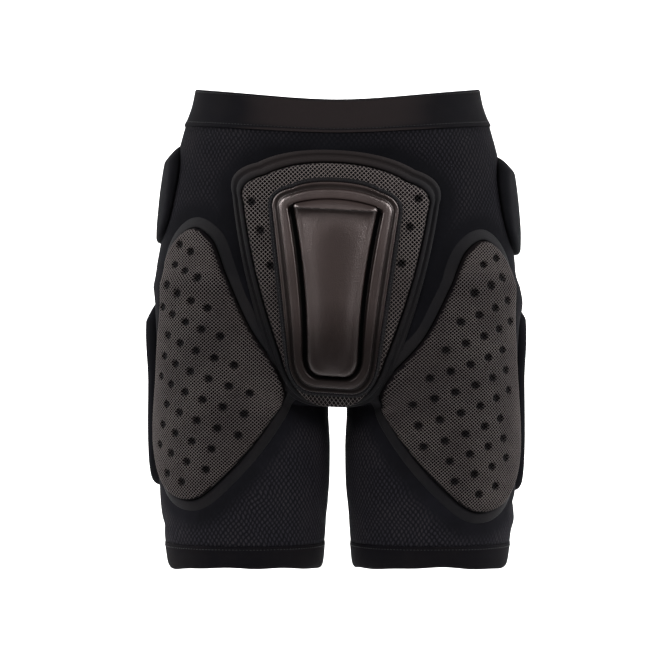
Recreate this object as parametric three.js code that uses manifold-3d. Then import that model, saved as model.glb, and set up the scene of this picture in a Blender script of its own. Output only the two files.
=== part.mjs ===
// Padded protective shorts: a knitted body with an elastic waistband and two leg hems, foam pads under an
// open net cover on the front and the thighs and under plain cloth on the hips and the outer legs, and a moulded
// guard on the front pad.
// Millimetres, +Z up. The guarded side faces -Y, and "left" is the -X side, as seen from that side.
// The origin is the centre of the waist opening, level with the lowest point of its rim.
import * as THREE from "three";
import { mergeVertices } from "three/addons/utils/BufferGeometryUtils.js";
import Module from "manifold-3d";

const wasm = await Module();
wasm.setup();

// Driving dimensions of the body
const HIP_HALF_WIDTH = 178.5;
const HIP_FRONT_DEPTH = 112;
const HIP_BACK_DEPTH = 124;
const THIGH_FRONT_DEPTH = 90;
const THIGH_BACK_DEPTH = 99;
const LEG_GAP = 17;
const CROTCH_DROP = 297;
const LEG_LENGTH = 155;
const RIM_SAG = 18.5;
const BACK_RIM_SAG = 12;
const SEAM_SAG = 14.5;
const BAND_HEIGHT = 37;
const HEM_HEIGHT = 20;

// Thicknesses and clearances
const CLOTH = 2.5;
const BAND_THICKNESS = 3;
const BAND_PROUD = 0.8;
const HEM_THICKNESS = 3;
const HEM_CURL = 8;
const CLEARANCE = 0.3;
const BORDER_GAP = 0.8;
const PAD_ROOT = 3;
const BELOW_SEAM = 30;
const ABOVE_CROTCH = 37;
const GUARD_TOP_INSET = 14.5;
const GUARD_TOE_INSET = 11;
const HIP_PAD_DROP = 68.5;

// Where the waist's seam lies at the front and at the sides, below the origin
const SEAM_DROP = BAND_HEIGHT - RIM_SAG + SEAM_SAG;
const SIDE_SEAM_DROP = BAND_HEIGHT - RIM_SAG;
const WHOLE_DROP = CROTCH_DROP + LEG_LENGTH;

// The front pad, a keystone. crown: how far its top arches up. corner, toe: how far its top and bottom corners
// round off. bow: how far its sides bow outwards. toeShare: the share of a border's width at the toe.
const FRONT_PAD = {
  top: -(SEAM_DROP + BELOW_SEAM),
  height: CROTCH_DROP - SEAM_DROP - ABOVE_CROTCH,
  topWidth: 1.048 * HIP_HALF_WIDTH,
  bottomWidth: 0.426 * HIP_HALF_WIDTH,
  crown: 15,
  corner: 26,
  toe: 42,
  bow: 4.5,
};
const FRONT_PAD_THICKNESS = 10;
const FRONT_BORDER = { width: 13, toeShare: 0.35, height: 4.5 };
// It is sewn in a little crooked: moved sideways, its right side lower, and its toe to the left.
const FRONT_SHIFT = -3.5;
const FRONT_LEAN = 0.05;
const FRONT_SWAY = 0.02;

// The pads of each side. angle: where the pad's middle lies round the leg, 0 at the front and a quarter turn at the
// outer side. waist: how far an egg-shaped pad is drawn in at its middle, as a share of its width. wedge: the share
// of its thickness that it loses from its top to its bottom.
const THIGH_PAD = {
  angle: 0.41,
  middle: -0.563 * WHOLE_DROP,
  width: 0.779 * HIP_HALF_WIDTH,
  length: 0.582 * WHOLE_DROP,
  thickness: 9.5,
};
const THIGH_BORDER = { width: 11, height: 2.8 };
const HIP_PAD = {
  angle: Math.PI / 2,
  middle: -SIDE_SEAM_DROP - HIP_PAD_DROP,
  width: 0.56 * HIP_HALF_WIDTH,
  length: 97,
  thickness: 11,
  taper: 0.08,
  waist: 0,
  wedge: 0.55,
};
const SIDE_PAD = {
  angle: 2.02,
  middle: -0.628 * WHOLE_DROP,
  width: 0.493 * HIP_HALF_WIDTH,
  length: 0.42 * WHOLE_DROP,
  thickness: 9.5,
  taper: 0.05,
  waist: 0.06,
  wedge: 0,
};

// Blind holes moulded into the front pad beside the guard, from the top down. out: share of the pad's width from
// its middle. down: share of its height below its top. They lie level, so in the crooked pad they rise to the right.
const HOLE_RADIUS = 3.8;
const HOLE_DEPTH = 5;
const HOLE_RISE = 0.068;
const FRONT_HOLES = [
  { out: 0.412, down: 0.159 },
  { out: 0.372, down: 0.278 },
  { out: 0.329, down: 0.423 },
];

// The moulded guard on the front pad
const GUARD = {
  top: FRONT_PAD.top - GUARD_TOP_INSET,
  height: FRONT_PAD.height - GUARD_TOP_INSET - GUARD_TOE_INSET,
  topWidth: 0.695 * FRONT_PAD.topWidth,
  bottomWidth: 1.08 * FRONT_PAD.bottomWidth,
  crown: 9,
  corner: 16,
  toe: 28,
  bow: 3.5,
};
const GUARD_TOE_SHARE = 0.6;
const BINDING = { width: 4, height: 1.8, round: 0.8 };
// Its profile from the edge inwards: an outer ridge, a groove, a frame, a channel and the raised middle.
const GUARD_PROFILE = [
  { inset: 4.3, height: 2 },
  { inset: 5.5, height: 4.4 },
  { inset: 8.5, height: 4.4 },
  { inset: 10, height: 3 },
  { inset: 11, height: 3 },
  { inset: 12.5, height: 6 },
  { inset: 19.5, height: 6.5 },
  { inset: 20.5, height: 2.6 },
  { inset: 23.5, height: 2.6 },
  { inset: 26.5, height: 6.5 },
];
const BOSS = { bevel: 4, topBevel: 8, shoulder: 9, crest: 11 };
const BOSS_SHARES = [0.62, 0.24];

// How finely the surfaces are cut
const BODY_STEPS = 20;
const INNER_STEPS = 4;
const FRONT_STEPS = 28;
const THIGH_STEPS = 24;
const EGG_STEPS = 18;
const HOLE_SIDES = 5;

// Each side's pads are sewn in a little differently: how much lower, turned and shifted they sit, and how much
// further in the thigh pad's corner reaches.
const SIDES = [
  { name: "left", sign: -1, drop: 0, turn: 0, shift: 0, corner: 8 },
  { name: "right", sign: 1, drop: 11.5, turn: -0.04, shift: -2, corner: 15 },
];

// Sections of the hips. at: share of the drop from the waist to the crotch. half, front, back: shares of the
// hip's half width and of its depth before and behind the middle.
const HIP_SECTIONS = [
  { at: -0.062, half: 0.79, front: 0.86, back: 0.81 },
  { at: 0, half: 0.812, front: 0.875, back: 0.825 },
  { at: 0.066, half: 0.8515, front: 0.91, back: 0.865 },
  { at: 0.12, half: 0.877, front: 0.94, back: 0.9 },
  { at: 0.227, half: 0.919, front: 0.98, back: 0.955 },
  { at: 0.335, half: 0.955, front: 1, back: 0.985 },
  { at: 0.443, half: 0.983, front: 1, back: 1 },
  { at: 0.604, half: 0.995, front: 0.975, back: 1 },
  { at: 0.813, half: 0.97, front: 0.93, back: 0.94 },
  { at: 1, half: 0.83, front: 0.83, back: 0.83 },
];

// Sections of a leg. at: share of the leg's length below the crotch. outer: share of the hip's half width.
// inner: share of half the gap between the legs. front, back: shares of the thigh's depths.
const LEG_SECTIONS = [
  { at: -1.1, outer: 0.978, inner: 1, front: 1, back: 1.1 },
  { at: -0.76, outer: 0.992, inner: 1, front: 1.04, back: 1.1 },
  { at: 0, outer: 1, inner: 1.05, front: 1, back: 1 },
  { at: 0.28, outer: 1, inner: 0.88, front: 0.965, back: 0.95 },
  { at: 0.535, outer: 0.994, inner: 1, front: 0.93, back: 0.91 },
  { at: 0.74, outer: 0.9776, inner: 1.35, front: 0.895, back: 0.87 },
  { at: 0.94, outer: 0.955, inner: 1.6, front: 0.86, back: 0.84 },
  { at: 1, outer: 0.947, inner: 1.7, front: 0.85, back: 0.83 },
];

const HIP_POWER = 2.3;
const LEG_POWER = 2.15;
const MERGE = 0.12;
// Where the thighs fade into the hips, and where the front and the seat start to curve under, as shares of the
// drop.
const THIGH_FADE = { from: 0.6, to: 0.36, lift: 0.5 };
const UNDER = { from: 0.79, frontPower: 5, backPower: 3 };

// A smooth value of one column of a table: a cubic through its rows, level past its ends.
function sample(rows, at, column) {
  const last = rows.length - 1;
  if (at <= rows[0].at) return rows[0][column];
  if (at >= rows[last].at) return rows[last][column];
  const i = rows.findIndex((row) => row.at > at) - 1;
  const slope = (k) => {
    const a = rows[Math.max(k - 1, 0)];
    const b = rows[Math.min(k + 1, last)];
    return (b[column] - a[column]) / (b.at - a.at);
  };
  const [a, b] = [rows[i], rows[i + 1]];
  const span = b.at - a.at;
  const t = (at - a.at) / span;
  const [t2, t3] = [t * t, t * t * t];
  return (
    (2 * t3 - 3 * t2 + 1) * a[column] +
    (t3 - 2 * t2 + t) * span * slope(i) +
    (3 * t2 - 2 * t3) * b[column] +
    (t3 - t2) * span * slope(i + 1)
  );
}

const clamp = THREE.MathUtils.clamp;

// 1 on the oval, less inside it, more outside it.
function ovalLevel(x, y, half, front, back, power) {
  const depth = y < 0 ? front : back;
  return (Math.abs(x / half) ** power + Math.abs(y / depth) ** power) ** (1 / power);
}

function legAxis(z) {
  const at = (-z - CROTCH_DROP) / LEG_LENGTH;
  const outer = sample(LEG_SECTIONS, at, "outer") * HIP_HALF_WIDTH;
  const inner = sample(LEG_SECTIONS, at, "inner") * (LEG_GAP / 2);
  return { middle: (outer + inner) / 2, half: (outer - inner) / 2 };
}

function hipLevel(x, y, z) {
  const at = -z / CROTCH_DROP;
  if (at >= 1) return Infinity;
  const under = clamp((at - UNDER.from) / (1 - UNDER.from), 0, 1);
  const tuck = (power) => (1 - under ** power) ** (1 / power);
  return ovalLevel(
    x,
    y,
    sample(HIP_SECTIONS, at, "half") * HIP_HALF_WIDTH,
    sample(HIP_SECTIONS, at, "front") * HIP_FRONT_DEPTH * tuck(UNDER.frontPower),
    sample(HIP_SECTIONS, at, "back") * HIP_BACK_DEPTH * tuck(UNDER.backPower),
    HIP_POWER,
  );
}

function legLevel(x, y, z) {
  const at = (-z - CROTCH_DROP) / LEG_LENGTH;
  const { middle, half } = legAxis(z);
  const front = sample(LEG_SECTIONS, at, "front") * THIGH_FRONT_DEPTH;
  const back = sample(LEG_SECTIONS, at, "back") * THIGH_BACK_DEPTH;
  const fade = clamp((-z / CROTCH_DROP - THIGH_FADE.from) / (THIGH_FADE.to - THIGH_FADE.from), 0, 1);
  return ovalLevel(x - middle, y, half, front, back, LEG_POWER) + THIGH_FADE.lift * fade;
}

// Hips and leg run into each other: a smooth minimum of the two.
function bodyLevel(x, y, z) {
  const hip = hipLevel(x, y, z);
  const leg = legLevel(x, y, z);
  const near = Math.max(MERGE - Math.abs(hip - leg), 0) / MERGE;
  return Math.min(hip, leg) - (near * near * MERGE) / 4;
}

// How far along a ray the body's surface lies.
function reach(x, y, z, dx, dy) {
  let [inside, outside] = [0, 3 * HIP_HALF_WIDTH];
  for (let i = 0; i < 32; i++) {
    const middle = (inside + outside) / 2;
    if (bodyLevel(x + dx * middle, y + dy * middle, z) < 1) inside = middle;
    else outside = middle;
  }
  return inside;
}

// A point of the +X half's surface, by its angle about the leg's axis: 0 is the front and a quarter turn the
// outer side.
function skin(angle, z) {
  const { middle } = legAxis(z);
  const [dx, dy] = [Math.sin(angle), -Math.cos(angle)];
  const r = reach(middle, 0, z, dx, dy);
  return new THREE.Vector3(middle + r * dx, r * dy, z);
}

// A point of the surface as seen straight from the front.
function frontSkin(x, z) {
  return new THREE.Vector3(x, -reach(Math.abs(x), 0, z, 0, -1), z);
}

// The outward normal of a surface given by two parameters.
function normalOf(surface, u, v, step) {
  const across = surface(u + step, v).sub(surface(u - step, v));
  const up = surface(u, v + 1).sub(surface(u, v - 1));
  return across.cross(up).normalize();
}

const STEP_ANGLE = 0.01;
const LINE_POWER = 1.25;

// How high a line round the waist lies: level at the sides, sagging to the front and the back.
function waistLine(side, frontSag, backSag) {
  return (point) => {
    const away = Math.hypot(point.x, point.y);
    const cosine = Math.abs(point.y) / away;
    return side - (point.y < 0 ? frontSag : backSag) * cosine ** LINE_POWER;
  };
}

const rimLine = waistLine(RIM_SAG, RIM_SAG, BACK_RIM_SAG);
const seamLine = waistLine(RIM_SAG - BAND_HEIGHT, SEAM_SAG, BACK_RIM_SAG);

// Half a section of the body: points with their normals, from the front's middle round the outside to the back's
// middle above the crotch, and all the way round the leg below it. lineAt gives a point's height. The steps round
// the outer side stay at the same angles in every section, and the rest share out what is left. A flat section's
// normals are level.
function halfSection(lineAt, level, flat = false) {
  const onMiddle = (sign) => {
    const z = lineAt(new THREE.Vector3(0, sign * reach(0, 0, level, 0, sign), level));
    return new THREE.Vector3(0, sign * reach(0, 0, z, 0, sign), z);
  };
  const open = level > -CROTCH_DROP;
  const { middle } = legAxis(level);
  const ends = open ? [onMiddle(-1), onMiddle(1)] : null;
  const from = open ? Math.atan2(-middle, -ends[0].y) : -Math.PI / 2;
  const to = open ? Math.PI + Math.atan2(middle, ends[1].y) : (3 * Math.PI) / 2;
  const angleAt = (k) => {
    if (k < INNER_STEPS) return from * (1 - k / INNER_STEPS);
    const left = BODY_STEPS - INNER_STEPS;
    if (k > left) return Math.PI + ((to - Math.PI) * (k - left)) / INNER_STEPS;
    return (Math.PI * (k - INNER_STEPS)) / (left - INNER_STEPS);
  };
  const row = Array.from({ length: BODY_STEPS + 1 }, (_, k) => {
    const angle = angleAt(k);
    const point = skin(angle, lineAt(skin(angle, level)));
    const normal = normalOf(skin, angle, point.z, STEP_ANGLE);
    return { point, normal: flat ? normal.setZ(0).normalize() : normal };
  });
  if (open) {
    [row[0].point, row[BODY_STEPS].point] = ends;
    for (const end of [row[0], row[BODY_STEPS]]) end.normal.setX(0).normalize();
  } else {
    row[BODY_STEPS] = row[0];
  }
  return row;
}

const level = (z) => () => z;

// A solid from vertices and triangles; coinciding vertices are merged first.
function solidFrom(points, triangles) {
  const geometry = new THREE.BufferGeometry().setFromPoints(points);
  geometry.setIndex(triangles);
  const merged = mergeVertices(geometry, 1e-4);
  const index = merged.index.array;
  const kept = [];
  for (let i = 0; i < index.length; i += 3) {
    const [a, b, c] = [index[i], index[i + 1], index[i + 2]];
    if (a !== b && b !== c && c !== a) kept.push(a, b, c);
  }
  const make = (order) =>
    new wasm.Manifold(
      new wasm.Mesh({
        numProp: 3,
        vertProperties: merged.attributes.position.array,
        triVerts: new Uint32Array(order),
      }),
    );
  const solid = make(kept);
  return solid.volume() > 0 ? solid : make(kept.reverse());
}

// A solid through a stack of closed loops of equal counts. Its ends are capped, or it closes into a ring.
function loft(loops, ring = false) {
  const count = loops[0].length;
  const points = loops.flat();
  const triangles = [];
  const bands = ring ? loops.length : loops.length - 1;
  for (let j = 0; j < bands; j++) {
    const below = j * count;
    const above = ((j + 1) % loops.length) * count;
    for (let i = 0; i < count; i++) {
      const next = (i + 1) % count;
      triangles.push(below + i, below + next, above + next, below + i, above + next, above + i);
    }
  }
  if (!ring) {
    [loops[0], loops[loops.length - 1]].forEach((loop, end) => {
      const middle = points.length;
      points.push(loop.reduce((sum, p) => sum.add(p), new THREE.Vector3()).divideScalar(count));
      const first = end * (loops.length - 1) * count;
      for (let i = 0; i < count; i++) {
        const [a, b] = [first + i, first + ((i + 1) % count)];
        triangles.push(middle, ...(end ? [a, b] : [b, a]));
      }
    });
  }
  return solidFrom(points, triangles);
}

const mirrored = (p) => new THREE.Vector3(-p.x, p.y, p.z);

// Heights of the body's sections, as shares of the drop to the crotch and of the leg's length.
const HIP_ROWS = [0.22, 0.36, 0.51, 0.66, 0.78, 0.87, 0.93, 0.97, 0.991, 1];
const LEG_ROWS = [0.015, 0.08, 0.22, 0.42, 0.62, 0.78];
const LEG_BOTTOM = -CROTCH_DROP - LEG_LENGTH;
const HEM_TOP = LEG_BOTTOM + HEM_HEIGHT;

// The sections of the body from the waist seam to the top of the hems.
function bodySections() {
  const seam = halfSection(seamLine, -BAND_HEIGHT, true);
  const hips = HIP_ROWS.map((share) => halfSection(level(-share * CROTCH_DROP), -share * CROTCH_DROP));
  const legs = LEG_ROWS.map((share) => {
    const z = -CROTCH_DROP - share * LEG_LENGTH;
    return halfSection(level(z), z);
  });
  const edge = halfSection(level(HEM_TOP + CLEARANCE), HEM_TOP + CLEARANCE);
  // Both legs' first loops meet in one point at the crotch.
  const crotch = hips[hips.length - 1];
  crotch[0].point = new THREE.Vector3(0, 0, -CROTCH_DROP);
  crotch[0].normal = new THREE.Vector3(0, 0, -1);
  crotch[BODY_STEPS] = crotch[0];
  return [seam, ...hips, ...legs, edge];
}

// The closed solid inside the body's surface, grown outwards by a distance, from a cap above the seam to one below
// the hems' tops. lift moves its two caps outwards.
function bodySolid(sections, growth, lift) {
  const at = ({ point, normal }) => point.clone().addScaledVector(normal, growth);
  const rows = sections.map((row) => row.map(at));
  const first = rows[0].map((p) => p.clone().add(new THREE.Vector3(0, 0, lift)));
  const final = rows[rows.length - 1].map((p) => p.clone().sub(new THREE.Vector3(0, 0, lift)));
  if (lift > 0) {
    rows.unshift(first);
    rows.push(final);
  }
  const points = [];
  const triangles = [];
  for (const flip of [false, true]) {
    const base = points.length;
    const across = BODY_STEPS + 1;
    rows.forEach((row) => points.push(...row.map((p) => (flip ? mirrored(p) : p))));
    const face = (a, b, c) => {
      const corners = flip ? [a, c, b] : [a, b, c];
      triangles.push(...corners.map((corner) => base + corner));
    };
    for (let j = 0; j + 1 < rows.length; j++) {
      for (let i = 0; i < BODY_STEPS; i++) {
        const [a, b] = [j * across + i, (j + 1) * across + i];
        face(a, b, b + 1);
        face(a, b + 1, a + 1);
      }
    }
    // The waist is capped from a middle point on the mirror plane, the leg from its own middle.
    const waist = points.length - base;
    points.push(new THREE.Vector3(0, 0, rows[0][0].z));
    for (let i = 0; i < BODY_STEPS; i++) face(waist, i, i + 1);
    const foot = points.length - base;
    const end = (rows.length - 1) * across;
    const sum = rows[rows.length - 1].slice(1).reduce((total, p) => total.add(p), new THREE.Vector3());
    const middle = sum.divideScalar(BODY_STEPS);
    points.push(flip ? mirrored(middle) : middle);
    for (let i = 0; i < BODY_STEPS; i++) face(foot, end + i + 1, end + i);
  }
  return solidFrom(points, triangles);
}

const sections = bodySections();
const bodyFilled = bodySolid(sections, 0, 0);
const bodyHollow = bodySolid(sections, -CLOTH, 2 * CLOTH);
const bodyGrown = bodySolid(sections, CLEARANCE, CLEARANCE);

const parts = new THREE.Group();

const MATERIALS = {
  knit: { color: 0x1b1b1f, roughness: 0.9, metalness: 0 },
  elastic: { color: 0x202024, roughness: 0.8, metalness: 0 },
  net: { color: 0x6b625e, roughness: 0.85, metalness: 0 },
  binding: { color: 0x241f20, roughness: 0.7, metalness: 0 },
  shell: { color: 0x3c3533, roughness: 0.42, metalness: 0 },
};

// Adds a solid to the model as a named mesh.
function addPart(name, solid, finish) {
  const { numProp, vertProperties, triVerts } = solid.getMesh();
  const positions = new Float32Array((vertProperties.length / numProp) * 3);
  for (let i = 0; i < positions.length / 3; i++) {
    positions.set(vertProperties.subarray(i * numProp, i * numProp + 3), i * 3);
  }
  const indexed = new THREE.BufferGeometry();
  indexed.setAttribute("position", new THREE.BufferAttribute(positions, 3));
  indexed.setIndex(new THREE.BufferAttribute(triVerts, 1));
  const geometry = indexed.toNonIndexed();
  geometry.computeVertexNormals();
  const mesh = new THREE.Mesh(geometry, new THREE.MeshStandardMaterial(MATERIALS[finish]));
  mesh.name = name;
  parts.add(mesh);
}

// A whole loop round the waist, moved out of the surface by a distance.
function waistLoop(row, out) {
  const moved = row.map(({ point, normal }) => point.clone().addScaledVector(normal, out));
  return [...moved, ...moved.slice(1, -1).reverse().map(mirrored)];
}

function waistband() {
  const bandRow = (share) => {
    const line = (p) => rimLine(p) + (seamLine(p) - rimLine(p)) * share;
    return halfSection(line, RIM_SAG / 2 - BAND_HEIGHT * share, true);
  };
  const [inner, outer] = [BAND_PROUD - BAND_THICKNESS, BAND_PROUD];
  const round = BAND_THICKNESS / 3;
  const top = bandRow(0);
  const shoulder = bandRow(round / BAND_HEIGHT);
  const middle = bandRow(0.5);
  const bottom = sections[0].map(({ point, normal }) => {
    return { point: point.clone().setZ(point.z + CLEARANCE), normal };
  });
  const loops = [
    waistLoop(top, inner + round),
    waistLoop(shoulder, inner),
    waistLoop(middle, inner),
    waistLoop(bottom, inner),
    waistLoop(bottom, outer),
    waistLoop(middle, outer),
    waistLoop(shoulder, outer),
    waistLoop(top, outer - round),
  ];
  return loft(loops, true);
}

// The hem's profile. down: share of its height. curl: share of how far it curls in. wall: share of its thickness
// in from its outer face.
const HEM_PROFILE = [
  { down: 0, curl: 0, wall: 0 },
  { down: 0.5, curl: 0, wall: 0 },
  { down: 0.8, curl: 0.2, wall: 0 },
  { down: 0.95, curl: 0.55, wall: 0 },
  { down: 1, curl: 1, wall: 0 },
  { down: 0.88, curl: 1, wall: 0.4 },
  { down: 0.75, curl: 0.45, wall: 1 },
  { down: 0.5, curl: 0.1, wall: 1 },
  { down: 0, curl: 0, wall: 1 },
];

function hem(side) {
  const loops = HEM_PROFILE.map(({ down, curl, wall }) => {
    const z = HEM_TOP - down * HEM_HEIGHT;
    const out = -curl * HEM_CURL - wall * HEM_THICKNESS;
    const loop = halfSection(level(z), z, true)
      .slice(1)
      .map(({ point, normal }) => point.clone().addScaledVector(normal, out));
    return side.sign < 0 ? loop.map(mirrored) : loop;
  });
  return loft(loops, true);
}

// How strongly a keystone's curves are pulled to its corners, and how its corners shrink as it is drawn in.
const KEYSTONE = { crownPull: 0.45, cornerPull: 0.25, toePull: 0.8, cornerLoss: 0.4, leastCorner: 4 };

// A keystone's outline, with an arched top and rounded corners, as evenly spaced points: u across, v up.
function keystoneLoop({ top, height, topWidth, bottomWidth, crown, corner, toe, bow }) {
  const [wide, narrow] = [topWidth / 2, bottomWidth / 2];
  const [shoulder, bottom] = [top - crown, top - height];
  const lean = (wide - narrow) / (height - crown);
  const upper = [wide - lean * corner, shoulder - corner];
  const lower = [narrow + lean * toe, bottom + toe];
  const bowed = [(upper[0] + lower[0]) / 2 + 2 * bow, (upper[1] + lower[1]) / 2];
  const shape = new THREE.Shape();
  shape.moveTo(0, top);
  shape.quadraticCurveTo(wide * KEYSTONE.crownPull, top, wide - corner, shoulder);
  shape.quadraticCurveTo(wide, shoulder - corner * KEYSTONE.cornerPull, ...upper);
  shape.quadraticCurveTo(...bowed, ...lower);
  shape.quadraticCurveTo(narrow, bottom, narrow - toe * KEYSTONE.toePull, bottom);
  shape.lineTo(toe * KEYSTONE.toePull - narrow, bottom);
  shape.quadraticCurveTo(-narrow, bottom, -lower[0], lower[1]);
  shape.quadraticCurveTo(-bowed[0], bowed[1], -upper[0], upper[1]);
  shape.quadraticCurveTo(-wide, shoulder - corner * KEYSTONE.cornerPull, corner - wide, shoulder);
  shape.quadraticCurveTo(-wide * KEYSTONE.crownPull, top, 0, top);
  return shape.getSpacedPoints(FRONT_STEPS).slice(0, FRONT_STEPS);
}

// The same keystone drawn in by a distance, by a share of it at the toe.
function drawnIn(shape, inset, toeShare = 1) {
  return {
    ...shape,
    top: shape.top - inset,
    height: shape.height - inset * (1 + toeShare),
    topWidth: shape.topWidth - 2 * inset,
    bottomWidth: shape.bottomWidth - 2 * inset,
    corner: Math.max(shape.corner - inset * KEYSTONE.cornerLoss, KEYSTONE.leastCorner),
    toe: Math.max(shape.toe - inset * KEYSTONE.cornerLoss, KEYSTONE.leastCorner),
  };
}

// The thigh pad's leaf outline. across: share of its width from its middle, outwards positive. up: share of its
// length. pull: share of how much further in this side's corner reaches.
const THIGH_OUTLINE = [
  { across: 0.08, up: 0.497, pull: 0 },
  { across: -0.05, up: 0.46, pull: 0 },
  { across: -0.16, up: 0.32, pull: 0 },
  { across: -0.3, up: 0.13, pull: 0.1 },
  { across: -0.43, up: -0.03, pull: 0.8 },
  { across: -0.47, up: -0.12, pull: 1 },
  { across: -0.38, up: -0.22, pull: 0.85 },
  { across: -0.13, up: -0.4, pull: 0.45 },
  { across: 0.1, up: -0.5, pull: 0 },
  { across: 0.34, up: -0.46, pull: 0 },
  { across: 0.5, up: -0.3, pull: 0 },
  { across: 0.44, up: -0.06, pull: 0 },
  { across: 0.34, up: 0.19, pull: 0 },
  { across: 0.31, up: 0.4, pull: 0 },
];

function thighLoop({ width, length }, corner) {
  const points = THIGH_OUTLINE.map(
    ({ across, up, pull }) => new THREE.Vector3(across * width - pull * corner, up * length, 0),
  );
  const curve = new THREE.CatmullRomCurve3(points, true, "centripetal");
  const spaced = curve.getSpacedPoints(THIGH_STEPS).slice(0, THIGH_STEPS);
  return spaced.map((p) => new THREE.Vector2(p.x, p.y));
}

const EGG_POWER = 0.75;

// A rounded block outline, wider at its top by its taper, and drawn in at its middle by its waist.
function eggLoop({ width, length, taper, waist }) {
  const square = (value) => Math.sign(value) * Math.abs(value) ** EGG_POWER;
  return Array.from({ length: EGG_STEPS }, (_, i) => {
    const turn = (2 * Math.PI * i) / EGG_STEPS;
    const up = square(Math.sin(turn));
    const draw = 1 + taper * up - waist * Math.max(0, 1 - (2 * up) ** 2);
    return new THREE.Vector2((square(Math.cos(turn)) * draw * width) / 2, (up * length) / 2);
  });
}

// A loop moved inwards by a distance, each point along its own normal.
function movedIn(loop, inset) {
  const count = loop.length;
  const outwards = Math.sign(THREE.ShapeUtils.area(loop));
  return loop.map((p, i) => {
    const along = loop[(i + 1) % count].clone().sub(loop[(i + count - 1) % count]).normalize();
    return p.clone().addScaledVector(new THREE.Vector2(-along.y, along.x), inset * outwards);
  });
}

function shrunk(loop, share) {
  const middle = loop.reduce((sum, p) => sum.add(p), new THREE.Vector2()).divideScalar(loop.length);
  return loop.map((p) => middle.clone().lerp(p, share));
}

// Where a point of a pad lies on the garment: u across it, v up it, h out of the cloth.
function onFront(u, v, h) {
  const middle = FRONT_PAD.top - FRONT_PAD.height / 2;
  const x = FRONT_SHIFT + u + FRONT_SWAY * (v - middle);
  const z = v - FRONT_LEAN * u;
  return frontSkin(x, z).addScaledVector(normalOf(frontSkin, x, z, 1), h);
}

function onSide(side, pad) {
  const round = (HIP_HALF_WIDTH - LEG_GAP / 2) / 2;
  const [c, s] = [Math.cos(side.turn), Math.sin(side.turn)];
  return (u, v, h) => {
    const angle = pad.angle + (u * c - v * s + side.shift) / round;
    const z = pad.middle - side.drop + u * s + v * c;
    const p = skin(angle, z).addScaledVector(normalOf(skin, angle, z, STEP_ANGLE), h);
    return side.sign < 0 ? mirrored(p) : p;
  };
}

// The same place for a pad that gets thinner from its top to its bottom.
function wedged(place, { length, wedge }) {
  return (u, v, h) => place(u, v, h > 0 ? h * (1 - wedge * (0.5 - v / length)) : h);
}

// A pad's edge. inset: millimetres in from its outline. height: share of its thickness.
const PAD_EDGE = [
  { inset: 0, height: 0.45 },
  { inset: 1.5, height: 0.78 },
  { inset: 5, height: 0.96 },
];
const PAD_TOP_SHARES = [0.68, 0.28];

// A foam pad with a rounded edge, from inside the cloth outwards. loopAt gives its outline at an inset.
function padBlock(loopAt, place, thickness, growth) {
  const lay = (loop, height) => loop.map((p) => place(p.x, p.y, height));
  const edge = PAD_EDGE.map(({ inset, height }) => lay(loopAt(inset - growth), height * thickness + growth));
  const inner = loopAt(PAD_EDGE[PAD_EDGE.length - 1].inset - growth);
  const top = PAD_TOP_SHARES.map((share) => lay(shrunk(inner, share), thickness + growth));
  return loft([lay(loopAt(-growth), -PAD_ROOT), ...edge, ...top]);
}

// A border's cross-section, from the pad outwards. out: share of its width. height: share of its height.
const BORDER_PROFILE = [
  { out: 0, height: 0.85 },
  { out: 0.5, height: 1 },
  { out: 1, height: 0.5 },
];

// The sewn border round a pad. loopAt gives the pad's outline at an inset, so a border lies at negative ones.
function borderBlock(loopAt, place, width, height) {
  const lay = (inset, h) => loopAt(inset).map((p) => place(p.x, p.y, h));
  const profile = BORDER_PROFILE.map((row) => lay(-BORDER_GAP - row.out * width, row.height * height));
  return loft([lay(-BORDER_GAP, -PAD_ROOT), ...profile, lay(-BORDER_GAP - width, -PAD_ROOT)], true);
}

// A blind hole's plug, square to the pad's face.
function holePlug(place, u, v, thickness) {
  const ring = (h) =>
    Array.from({ length: HOLE_SIDES }, (_, i) => {
      const turn = (2 * Math.PI * i) / HOLE_SIDES;
      return place(u + HOLE_RADIUS * Math.cos(turn), v + HOLE_RADIUS * Math.sin(turn), h);
    });
  return loft([ring(thickness - HOLE_DEPTH), ring(thickness + HOLE_DEPTH)]);
}

const punched = (solid, plugs) => plugs.reduce((left, plug) => left.subtract(plug), solid);

// What stays of a solid that is cut through: its largest body, without the slivers.
const largest = (solid) => solid.decompose().sort((a, b) => b.volume() - a.volume())[0];

// The guard's body: its profile swept round the keystone, with the middle closed by the boss.
function guardBlock() {
  const base = FRONT_PAD_THICKNESS;
  const lay = (shape, h) => keystoneLoop(shape).map((p) => onFront(p.x, p.y, base + h));
  const at = (inset) => drawnIn(GUARD, inset, GUARD_TOE_SHARE);
  const loops = GUARD_PROFILE.map(({ inset, height }) => lay(at(inset), height));
  const foot = at(GUARD_PROFILE[GUARD_PROFILE.length - 1].inset);
  const shoulder = drawnIn(foot, BOSS.bevel);
  shoulder.top -= BOSS.topBevel - BOSS.bevel;
  shoulder.height -= BOSS.topBevel - BOSS.bevel;
  const crest = keystoneLoop(shoulder);
  const dome = BOSS_SHARES.map((share) => {
    const h = BOSS.shoulder + (BOSS.crest - BOSS.shoulder) * (1 - share ** 2);
    return shrunk(crest, share).map((p) => onFront(p.x, p.y, base + h));
  });
  return loft([lay(at(GUARD_PROFILE[0].inset), -PAD_ROOT), ...loops, lay(shoulder, BOSS.shoulder), ...dome]);
}

// The stitched binding round the guard's edge.
function bindingBlock() {
  const lay = (inset, h) => {
    const loop = keystoneLoop(drawnIn(GUARD, inset, GUARD_TOE_SHARE));
    return loop.map((p) => onFront(p.x, p.y, FRONT_PAD_THICKNESS + h));
  };
  const { width, height, round } = BINDING;
  const outer = [lay(0, -PAD_ROOT), lay(0, height - round), lay(round, height)];
  return loft([...outer, lay(width, height), lay(width, -PAD_ROOT)], true);
}

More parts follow.
